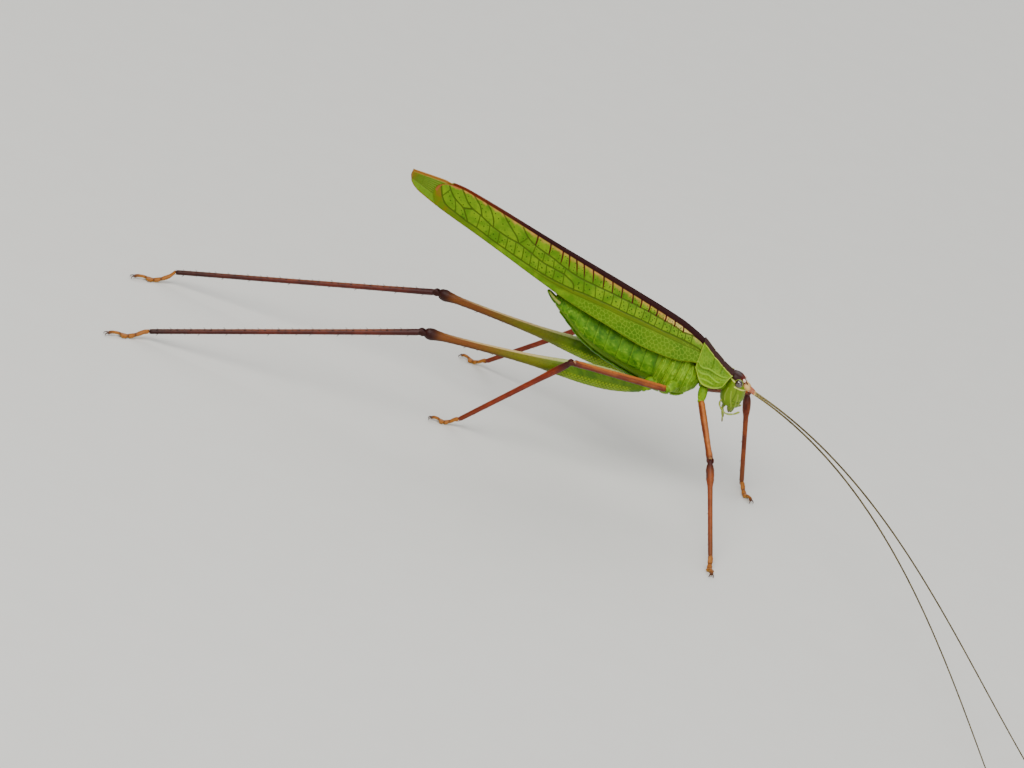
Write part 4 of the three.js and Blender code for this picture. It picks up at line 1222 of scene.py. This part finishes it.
antenna = {
    "steps": 36,
    "joints": 168,
    "joint": [(0.0, 0.84), (0.16, 1.0), (0.84, 1.03), (0.97, 0.86)],  # share of a joint's length, swell
    "jointed": 0.999,  # share of the length that the joints take
    "radius": [[0, 0.115], [0.04, 0.1], [0.3, 0.085], [1, 0.055]],
    "paleEvery": (40, 8),
    "scapeFoot": [(-0.08, 0.16), (0.0, 0.21), (0.1, 0.26)],
    # places as shares of the first joint's length
    "scape": [
        (0.36, 0.25), (0.46, 0.2), (0.5, 0.14), (0.54, 0.16), (0.78, 0.17), (0.97, 0.14), (1.03, 0.11),
    ],
    "rim": (0.25, 0.06),
    # heading and pitch change along the length, each by a constant, a linear and a square term
    "right": {
        "socket": (21.7, -0.45, 13.85),
        "scape": (23.0, -0.78, 13.45),
        "length": 59,
        "heading": (-35.6, -50.2, 18.8),
        "pitch": (0.9, -57, 46.7),
    },
    "left": {
        "socket": (21.7, 0.45, 13.85),
        "scape": (23.0, 0.12, 13.3),
        "length": 62,
        "heading": (-32.5, -57, 37),
        "pitch": (-0.1, -50.4, 42.1),
    },
}


def swept(spec, t):  # the way a feeler runs at a share of its length
    heading, pitch = (k[0] + k[1] * t + k[2] * t * t for k in (spec["heading"], spec["pitch"]))
    return direction(heading, pitch)


def feeler(name, spec):
    steps, count = antenna["steps"], antenna["joints"]
    route = [Vector(spec["scape"])]
    for i in range(steps):
        route.append(route[-1] + swept(spec, (i + 0.5) / steps) * spec["length"] / steps)
    line = throughPoints(route, 20)
    cut = np.concatenate([[0], np.cumsum(np.linalg.norm(np.diff(line, axis=0), axis=1))])
    place = np.array([(n + share) / count for n in range(count) for share, _ in antenna["joint"]])
    place = place * antenna["jointed"]
    swell = np.array([size for _, size in antenna["joint"]] * count)
    spots = np.stack([np.interp(place * cut[-1], cut, line[:, k]) for k in range(3)], axis=1)
    whole = threadAlong(name, spots, swell * smooth(antenna["radius"])(place), 8)
    tree = treeOf(spots)
    nearest = np.array([tree.find(p)[1] for p in points(whole)])
    every, many = antenna["paleEvery"]
    mark(whole, "joint", (swell < 0.9)[nearest])
    bands = np.arange(len(place)) % every < many
    mark(whole, "pale", (0.75 * step(0.09, 0.0, place) + 0.12 * bands)[nearest])
    return whole


whip = Finish("antenna", Roughness=0.5, Specular_IOR_Level=0.25)
patch = whip.noise(0.4)
thread = whip.coats(
    whip.blend(tone(62, 48, 6), tone(86, 72, 22), patch),
    (tone(140, 124, 70), whip.mark("pale")),
    (tone(12, 6, 2), whip.mark("joint") * 0.75),
)
whipMaterial = whip.show(thread, None, patch, 0.01, 0.3)
for side, sideName, nodeName in sides:
    spec = antenna[nodeName]
    settle(feeler("antenna_" + sideName, spec), whipMaterial, "antenna", "antenna_" + nodeName)
    socket, end = Vector(spec["socket"]), Vector(spec["scape"])
    long, way = (end - socket).length, (end - socket).normalized()
    stations = antenna["scapeFoot"] + [(a * long, r) for a, r in antenna["scape"]]
    scape = turned("scape_" + sideName, stations, 18)
    band = alongPiece(scape, 0.4 * long, 0.54 * long) * (1 - alongPiece(scape, 0.86 * long, 0.94 * long))
    mark(scape, "tip", 0.85 * band)
    settle(placed(scape, socket, way), creamMaterial, "cream", "scape_" + nodeName)
    deselect()
    wide, thin = antenna["rim"]
    turn = (0, math.pi / 2, 0)
    bpy.ops.mesh.primitive_torus_add(
        major_segments=32, minor_segments=10, major_radius=wide, minor_radius=thin, rotation=turn
    )
    bpy.ops.object.transform_apply(rotation=True)
    rim = smoothed(named("socket_rim_" + sideName))
    mark(rim, "tip", 0.55)
    settle(placed(rim, socket - way * 0.03, way), creamMaterial, "cream")
vertex = turned("vertex", [(0, 0.2), (0.1, 0.26), (0.5, 0.22), (0.8, 0.13), (0.9, 0.05)], 16, 0.8)
mark(vertex, "tip", 1)
settle(placed(vertex, Vector((21.15, 0, 14.22)), direction(0, -20)), mouthMaterial, "face_green")
for side, sideName, nodeName in sides:  # the simple eyes beside it: pale beads whose pale cream is also a painted highlight, where the head shows a glint
    deselect()
    bpy.ops.mesh.primitive_uv_sphere_add(segments=24, ring_count=16, radius=1)
    bead = named("small_eye_" + sideName)
    spots = points(bead)
    spots[:, 0] -= 0.2 * spots[:, 2] ** 2
    setPoints(bead, spots * (0.2, 0.17, 0.2) + (21.49, side * 0.52, 14.33))
    settle(smoothed(bead), pearlMaterial, "cream")
print("head")

tail = {
    "plate": [(-0.3, 0.3), (0, 0.42), (0.5, 0.4), (0.9, 0.32), (1.25, 0.24), (1.36, 0.1)],
    "from": Vector((1.24, 0, 15.35)),
    "to": Vector((0.15, 0, 16.15)),
    "cercus": {"root": (1.55, 0.8, 15.6), "heading": 172, "pitch": 24, "inward": 0.18, "upward": 0.1},
}
plate = turned("tail_plate", tail["plate"], 20, 0.75)
mark(plate, "pale", 0.5 * alongPiece(plate, 0.9, 1.3))
mark(plate, "groove", 0)
placed(plate, tail["from"], (tail["to"] - tail["from"]).normalized())
settle(plate, cuticleMaterial, "abdomen_green", "subgenital_plate")
for side, sideName, nodeName in sides:
    spec = tail["cercus"]
    root, way = Vector(spec["root"]) * Vector((1, side, 1)), direction(spec["heading"], spec["pitch"], side)
    route = [
        root + way * d + Vector((0, -side * spec["inward"] * d * d, spec["upward"] * d * d))
        for d in (-0.2, 0.4, 0.9, 1.3)
    ]
    line = throughPoints(route, 8)
    along = np.linspace(0, 1, len(line))
    cercus = threadAlong("cercus_" + sideName, line, 0.17 - 0.08 * along - 0.06 * step(0.9, 1, along), 12)
    mark(cercus, "tip", 0.1)
    settle(cercus, palpMaterial, "cream", "cercus_" + nodeName)
print("tail")

legs = {  # lengths of femur, tibia and foot; outlines as (share of the length, radius)
    "fore": {
        "lengths": (7.0, 9.7, 2.6),
        "coxa": [(0, 0.46), (0.5, 0.5), (0.92, 0.4), (1, 0.3)],
        "root": (17.95, 0.95, 12.6),
        "femur": [[0, 0.3], [0.03, 0.34], [0.3, 0.36], [0.8, 0.31], [0.95, 0.36], [0.99, 0.3]],
        "tibia": [
            [-0.012, 0.28], [0.03, 0.3], [0.1, 0.41], [0.2, 0.39], [0.28, 0.27], [0.97, 0.24], [1, 0.24],
        ],
        "tall": 0.95,
        "femurMesh": (130, 36),
        "tibiaMesh": (150, 32),
        "lobe": 1.0,
        "spines": (12, 0.2, 0.32),  # how many, their length, the first one's place
        "drum": 0.15,
        "slot": "front_femur",
    },
    "mid": {
        "lengths": (10.4, 14.4, 2.8),
        "coxa": [(0, 0.7), (0.5, 0.62), (0.92, 0.44), (1, 0.3)],
        "root": (15.3, 1.15, 12.1),
        "femur": [[0, 0.3], [0.02, 0.35], [0.3, 0.36], [0.8, 0.31], [0.96, 0.36], [0.99, 0.3]],
        "tibia": [[-0.01, 0.28], [0.02, 0.3], [0.12, 0.35], [0.3, 0.29], [0.97, 0.24], [1, 0.24]],
        "tall": 0.95,
        "femurMesh": (130, 36),
        "tibiaMesh": (150, 32),
        "lobe": 1.0,
        "spines": (15, 0.2, 0.32),
        "drum": None,
        "slot": "front_femur",
    },
    "hind": {
        "lengths": (22.9, 27.1, 4.3),
        "coxa": [(0, 0.75), (0.5, 0.7), (0.92, 0.48), (1, 0.36)],
        "root": (13.3, 0.95, 11.6),
        "femur": [
            [0, 0.4], [0.02, 0.5], [0.08, 0.69], [0.16, 0.88], [0.26, 0.88], [0.36, 0.73], [0.5, 0.49],
            [0.62, 0.38], [0.78, 0.32], [0.9, 0.35], [0.955, 0.5], [0.985, 0.42], [0.995, 0.3],
        ],
        "tibia": [[-0.006, 0.3], [0.012, 0.34], [0.03, 0.33], [0.3, 0.28], [0.97, 0.25], [1, 0.26]],
        "tall": 1.2,
        "femurMesh": (440, 84),
        "tibiaMesh": (220, 32),
        "lobe": 1.35,
        "spines": (38, 0.24, 0.05),
        "drum": None,
        "slot": "hind_femur",
    },
}
stance = {  # hip, femur's heading and pitch, tibia's heading, ankle's height, foot's heading
    "fore_right": ((18.15, 1.6, 11.25), (64, -28.5), 62, 0.85, 77),
    "fore_left": ((18.15, 1.6, 11.25), (49.5, -8.8), -15, 0.9, -55),
    "mid_right": ((14.6, 2.5, 11.5), (161.5, 3.5), 198, 0.9, 170),
    "mid_left": ((14.6, 2.5, 11.5), (150, -3), 150, 0.9, 165),
    "hind_right": ((12.4, 1.9, 10.55), (168, -1.1), 175.6, 0.95, 150),
    "hind_left": ((12.4, 1.9, 10.55), (172, -2.4), 178, 1.4, 207),
}
foot = {
    # share of its length, height of its middle ("ankle" takes the leg's own), half width, half height
    "stations": [
        (0, "ankle", 0.2, 0.24), (0.1, 0.85, 0.24, 0.24), (0.2, 0.6, 0.27, 0.24), (0.29, 0.4, 0.2, 0.19),
        (0.36, 0.27, 0.28, 0.23), (0.44, 0.2, 0.26, 0.2), (0.47, 0.2, 0.2, 0.17), (0.54, 0.17, 0.4, 0.2),
        (0.62, 0.2, 0.42, 0.2), (0.66, 0.34, 0.2, 0.16), (0.74, 0.42, 0.15, 0.15),
        (0.86, 0.42, 0.16, 0.16), (0.93, 0.33, 0.19, 0.17), (0.965, 0.24, 0.12, 0.12),
    ],
    "mesh": (84, 28),
    "joints": [(0.3, 0.022), (0.47, 0.02), (0.68, 0.02)],  # place and width
    # place, spread, height
    "claw": [(0.93, 0, 0.3), (0.99, 0.1, 0.34), (1.06, 0.2, 0.24), (1.07, 0.24, 0.05)],
}
scales = {"wide": 0.224, "long": 0.36}  # in radians round the hind femur and millimetres along it


def tubeSheet(stations, length, mesh, tall, keel):  # a limb along X, closed at both ends
    u, angle = ringed(0, 1, *mesh)
    radius = smooth(stations)
    first, last = stations[0][0], stations[-1][0]
    blunt = np.clip(np.minimum(u, 1 - u) / (1.2 * radius(first) / length), 0, 1)
    x = lerp(first, last, u)
    r = radius(x) * rounded(blunt) * (1 + keel * np.cos(4 * angle))
    return np.stack([x * length, r * np.sin(angle), r * tall * np.cos(angle)], axis=-1), x, angle


def raisedTube(name, sheet, lift, marks):
    normal = outwards(sheet)
    raised = sheet + outside(sheet, normal) * normal * lift[..., None]
    raised[0], raised[-1] = raised[0].mean(0), raised[-1].mean(0)
    return skin(name, raised, marks)


def spine(long):  # one thorn, leaning along the leg
    deselect()
    bpy.ops.mesh.primitive_circle_add(vertices=6, radius=0.22 * long, fill_type="NGON")
    thorn = named("spine")
    bpy.ops.object.mode_set(mode="EDIT")
    bpy.ops.mesh.select_all(action="SELECT")
    for shift, size in ((0.34, 0.72), (0.33, 0.62), (0.33, 0.12)):
        move = (0.3 * long, 0, 0.85 * shift * long)
        bpy.ops.mesh.extrude_region_move(TRANSFORM_OT_translate={"value": move})
        bpy.ops.transform.resize(value=(size, size, size))
    return smoothed(facedOut(thorn), 70)


def stud(parts, thorn, place, along):  # adds a copy of a thorn, at its place on a limb
    copy = copied(thorn, "thorn")
    copy.data.transform(place)
    mark(copy, "along", along)
    parts.append(copy)


def femur(kind, name):
    spec = legs[kind]
    length, big = spec["lengths"][0], spec["lobe"]
    sheet, x, angle = tubeSheet(spec["femur"], length, spec["femurMesh"], spec["tall"], 0.02)
    along, up = x * length, np.cos(angle)
    lift = 0.012 * np.sin(along * 9 + 3 * np.sin(angle * 2)) * 0.5 + 0.03 * bell(up - 1, 0.03)
    scale = np.zeros(up.shape)
    if kind == "hind":  # rows of small scales on the lower face of the thick part
        across = angle / scales["wide"]
        lap = np.mod(along / scales["long"] + 0.5 * np.mod(np.floor(across), 2), 1)
        dome = np.sqrt(np.clip(1 - (2 * np.mod(across, 1) - 1) ** 2, 0, 1))
        dome = dome * np.clip(4 * lap * (1 - lap), 0, 1)
        scale = dome * step(0.25, -0.1, up) * step(0.03, 0.08, x) * step(0.5, 0.36, x)
        ridge = sum(bell(up - level, 0.06) for level in (0.62, -0.86))
        lift = lift + 0.06 * scale + 0.035 * ridge * step(0.02, 0.1, x) * step(0.95, 0.85, x)
    lift = lift - 0.03 * (bell(x - 0.935, 0.012) + bell(x - 0.02, 0.01))
    parts = [raisedTube(name, sheet, lift, {"along": x, "up": np.clip(up * 0.5 + 0.5, 0, 1), "scale": scale})]
    knee = spec["femur"][-2][1]
    stations = [(-0.3, 0.06), (-0.12, 0.2 * big), (0.12, 0.23 * big), (0.28, 0.12 * big), (0.34, 0.04)]
    for side in (-1, 1):  # the two lobes that clasp the knee
        lobe = turned("lobe", [(a * big, r) for a, r in stations], 12, 1.15)
        setPoints(lobe, points(lobe) * (1, 0.42, 1) + (length - 0.04, side * knee * 0.78, 0.02))
        mark(lobe, "along", 1.0)
        mark(lobe, "up", 0.4)
        parts.append(lobe)
    if kind == "hind":  # a few thorns under the thin part
        thorn = spine(spec["spines"][1])
        for n, place in enumerate(np.linspace(0.55, 0.93, 7)):
            spot = (place * length, 0.12 * (-1) ** n, -0.37 + 0.03 * math.cos(n))
            stud(parts, thorn, Matrix.Translation(spot) @ Matrix.Rotation(math.pi, 4, "X"), 1.0)
        bpy.data.objects.remove(thorn)
    return joined(name, parts)


def onLimb(place, angle, out):  # a spot on a limb along X, turned to face outwards
    turn = Matrix.Rotation(-angle, 4, "X")
    return Matrix.Translation((place, 0, 0)) @ turn @ Matrix.Translation((0, 0, out))


def tibia(kind, name):
    spec = legs[kind]
    length = spec["lengths"][1]
    sheet, x, angle = tubeSheet(spec["tibia"], length, spec["tibiaMesh"], 1.0, 0.05)
    up = np.cos(angle)
    lift = -0.025 * (bell(up - 1, 0.03) * step(0.03, 0.06, x))
    drum = np.zeros(up.shape)
    if spec["drum"]:  # the ear on each side of the fore tibia
        far = ((x - spec["drum"]) * length / 0.42) ** 2 + ((np.abs(np.sin(angle)) - 1) / 0.12) ** 2
        drum = bell(far, 1)
        lift = lift - 0.09 * drum + 0.03 * bell(np.sqrt(far) - 1.15, 0.2)
    lift = lift - 0.04 * bell(x * length - 0.35, 0.12)
    parts = [raisedTube(name, sheet, lift, {"along": x, "up": np.clip(up * 0.5 + 0.5, 0, 1), "drum": drum})]
    count, long, first = spec["spines"]
    thorn, radius, few = spine(long), smooth(spec["tibia"]), max(7, count // 2)
    rows = [(math.pi - 0.55, few), (math.pi + 0.55, few)]
    if kind == "hind":
        rows = [(0.62, count), (-0.62, count)] + rows
    for angle, many in rows:
        for n, place in enumerate(np.linspace(first, 0.965, many)):
            grow = Matrix.Scale(0.85 + 0.3 * math.sin(n * 2.4 + angle), 4)
            stud(parts, thorn, onLimb(place * length, angle, radius(place) * 0.9) @ grow, 2.0)
    for n in range(4):  # spurs at the ankle
        lean = Matrix.Rotation(0.6, 4, "Y") @ Matrix.Scale(1.4, 4)
        stud(parts, thorn, onLimb(length * 0.985, math.pi / 4 + n * math.pi / 2, 0.2) @ lean, 2.0)
    bpy.data.objects.remove(thorn)
    return joined(name, parts)


def tarsus(name, ankle, along, wide, length):
    stations = [(a, ankle.z if b == "ankle" else min(b, ankle.z), c, d) for a, b, c, d in foot["stations"]]
    shares, height, half, tall = zip(*stations)
    u, angle = ringed(0, 1, *foot["mesh"])
    u = u * shares[-1]
    level, across, up = (np.interp(u, shares, values) for values in (height, half, tall))
    end = rounded(np.clip(np.minimum(u + 0.02, shares[-1] + 0.001 - u) / 0.04, 0.0, 1))
    cleft = 1 - 0.35 * bell(u - 0.62, 0.04) * bell(np.sin(angle), 0.3) * (np.cos(angle) < 0)
    d = np.sin(angle) * across * end
    z = np.maximum(level + np.cos(angle) * up * end * cleft, 0)
    x, y = (ankle[k] + along[k] * u * length + wide[k] * d for k in (0, 1))
    joint = np.clip(sum(bell(u - place, width) for place, width in foot["joints"]), 0, 1)
    sole = (np.cos(angle) < -0.2) * step(0.02, 0.2, u)
    return skin(name, np.stack([x, y, z], axis=-1), {"joint": joint, "sole": sole, "tip": step(0.8, 0.95, u)})


def clawPair(name, ankle, along, wide, length):
    parts = []
    for side in (-1, 1):
        path = [
            ankle + along * (reach * length) + wide * side * spread + Vector((0, 0, high - ankle.z))
            for reach, spread, high in foot["claw"]
        ]
        line = throughPoints(path, 6)
        parts.append(threadAlong(name, line, np.linspace(0.1, 0.02, len(line)), 8))
    return joined(name, parts)


brown = Finish("leg brown", Roughness=0.42, Specular_IOR_Level=0.3)
fleck = brown.noise(0.13)
upper, along = brown.mark("up"), brown.mark("along")
legTint = brown.blend(tone(134, 66, 10), tone(104, 38, 2), brown.rise(brown.noise(1.4, 3, 0.6), 0.38, 0.62))
kneeRing = brown.rise(along, 0.965, 0.975) * brown.rise(1 - along, 0.005, 0.015) * brown.rise(upper, 0.4, 0.7)
legTint = brown.coats(
    # darker towards the underside: painted shade
    brown.blend(tone(86, 30, 2), legTint, brown.rise(upper, 0.12, 0.5)),
    # maroon towards the far end is the leg's own colour, but it is kept off the top: painted shade on the
    # lower side and flanks
    (tone(92, 26, 8), brown.rise(along, 0.35, 0.8) * (1 - brown.rise(upper, 0.5, 0.8)) * 0.8),
    # pale along the top: painted highlight
    (tone(190, 112, 46), brown.rise(upper, 0.8, 0.98) * 0.65),
    (tone(64, 10, 2), brown.rise(along, 0.9, 0.99) * 0.75),
    (tone(196, 150, 96), kneeRing * 0.6),
    (tone(60, 14, 2), brown.rise(fleck, 0.56, 0.7) * 0.45),
)
brownMaterial = brown.show(legTint, None, fleck, 0.02, 0.45)

haunch = Finish(
    "hind femur", Roughness=0.46, Specular_IOR_Level=0.2, Subsurface_Weight=0.05, Subsurface_Scale=0.0004
)
patch, fleck = haunch.noise(1.2, 3, 0.6), haunch.noise(0.14)
upper, along = haunch.mark("up"), haunch.mark("along")
# the pale line along the top of the hind femur is a painted highlight
topHighlightTint = haunch.blend(tone(176, 190, 116), tone(196, 168, 112), haunch.rise(along, 0.3, 0.6))
pale = haunch.rise(upper, 0.9, 0.97) * (1 - haunch.rise(along, 0.72, 0.94))
thighTint = haunch.coats(
    haunch.blend(tone(62, 98, 1), tone(90, 124, 4), haunch.rise(patch, 0.36, 0.64)),
    (tone(132, 156, 6), haunch.rise(haunch.mark("scale"), 0.2, 0.8) * 0.85),
    (tone(98, 98, 6), haunch.rise(along, 0.3, 0.52)),
    (tone(112, 62, 18), haunch.rise(along, 0.54, 0.8)),
    # darker on the lower side of the far part: painted shade
    (tone(66, 34, 8), haunch.rise(1 - upper, 0.55, 0.9) * haunch.rise(along, 0.5, 0.7) * 0.7),
    (topHighlightTint, pale * 0.85),
    (tone(44, 8, 4), haunch.rise(along, 0.9, 0.965)),
    (tone(58, 44, 2), haunch.rise(fleck, 0.57, 0.7) * 0.45),
)
haunchMaterial = haunch.show(thighTint, None, fleck, 0.02, 0.4)


def shins(name, light, deep, far):
    finish = Finish(name, Roughness=0.46, Specular_IOR_Level=0.25)
    fleck, along = finish.noise(0.12), finish.mark("along")
    tint = finish.coats(
        finish.blend(light, deep, finish.rise(finish.noise(1.8, 3, 0.6), 0.38, 0.62)),
        # lighter along the top: painted highlight
        (tone(150, 82, 34), finish.rise(finish.mark("up"), 0.8, 1) * 0.45),
        (far, finish.rise(along, 0.55, 1.1) * 0.85),
    )
    tint = finish.coats(
        finish.blend(tone(56, 12, 7), tint, finish.rise(along, 0.02, 0.2)),
        (tone(40, 10, 4), finish.rise(fleck, 0.56, 0.7) * 0.45),
        (tone(58, 14, 4), finish.mark("drum") * 0.8),
    )
    return finish.show(tint, None, fleck, 0.02, 0.45)


legMaterials = {  # femur and tibia
    "fore": (brownMaterial, shins("fore tibia", tone(128, 58, 20), tone(100, 36, 10), tone(104, 56, 24))),
    "mid": (brownMaterial, shins("mid tibia", tone(132, 46, 14), tone(106, 30, 8), tone(112, 44, 14))),
    "hind": (haunchMaterial, shins("hind tibia", tone(88, 28, 11), tone(66, 16, 7), tone(26, 7, 3))),
}
sock = Finish("tarsus", Roughness=0.5, Specular_IOR_Level=0.25)
patch = sock.noise(0.35, 3)
sockTint = sock.coats(
    sock.blend(tone(166, 104, 34), tone(128, 70, 12), patch),
    (tone(64, 22, 4), sock.mark("joint") * 0.85),
    (tone(178, 142, 54), sock.mark("sole") * 0.5),
    (tone(74, 32, 6), sock.mark("tip") * 0.7),
)
sockMaterial = sock.show(sockTint, None, patch, 0.02, 0.5)
horn = Finish("claw", Roughness=0.3)
hornMaterial = horn.show(horn.blend(tone(36, 10, 3), tone(84, 42, 10), horn.noise(0.2)))


def coxaPiece(name, spec, long):  # the hip, with the knob that the femur turns on
    coxa = turned("hip", [(a * long, r) for a, r in spec["coxa"]], 20)
    knob = [(-0.16, 0.2), (-0.08, 0.34), (0.1, 0.38), (0.26, 0.3), (0.32, 0.2)]
    coxa = joined(name, [coxa, turned("knob", [(long + a, r) for a, r in knob], 18)])
    x = points(coxa)[:, 0]
    mark(coxa, "pale", 0.55 * bell(x - long + 0.1, 0.1) + 0.3 * (np.sin(x * 9) > 0.7))
    mark(coxa, "groove", 0)
    return coxa


models = {kind: (femur(kind, kind + "_femur"), tibia(kind, kind + "_tibia")) for kind in legs}
for legName, (hip, femurWay, tibiaHeading, ankleHigh, footHeading) in stance.items():
    kind, nodeSide = legName.split("_")
    side, sideName = (1, "far") if nodeSide == "left" else (-1, "near")
    spec, pieceName = legs[kind], kind + "_" + sideName
    thighLong, shinLong, footLong = spec["lengths"]
    hip, root = (Vector((x, side * y, z)) for x, y, z in (hip, spec["root"]))
    way = direction(*femurWay, side)
    knee = hip + way * thighLong
    pitch = -math.degrees(math.asin((knee.z - ankleHigh) / shinLong))
    tibiaWay = direction(tibiaHeading, pitch, side)
    ankle = knee + tibiaWay * shinLong
    coxa = coxaPiece(pieceName + "_coxa", spec, (hip - root).length)
    settle(placed(coxa, root, (hip - root).normalized()), chestMaterial, "body_green", legName + "_coxa")
    (thigh, shank), (thighMaterial, shankMaterial) = models[kind], legMaterials[kind]
    thigh, shank = copied(thigh, pieceName + "_femur"), copied(shank, pieceName + "_tibia")
    settle(placed(thigh, hip, way), thighMaterial, spec["slot"], legName + "_femur")
    settle(placed(shank, knee, tibiaWay), shankMaterial, "tibia", legName + "_tibia")
    footWay = direction(footHeading, 0, side)
    wide = Vector((0, 0, 1)).cross(footWay)
    sole = tarsus(pieceName + "_tarsus", ankle, footWay, wide, footLong)
    settle(sole, sockMaterial, "tarsus", legName + "_tarsus")
    claws = clawPair(pieceName + "_claws", ankle, footWay, wide, footLong * foot["stations"][-1][0])
    settle(claws, hornMaterial, "tarsus")
for pair in models.values():
    for model in pair:
        bpy.data.objects.remove(model)
print("legs")
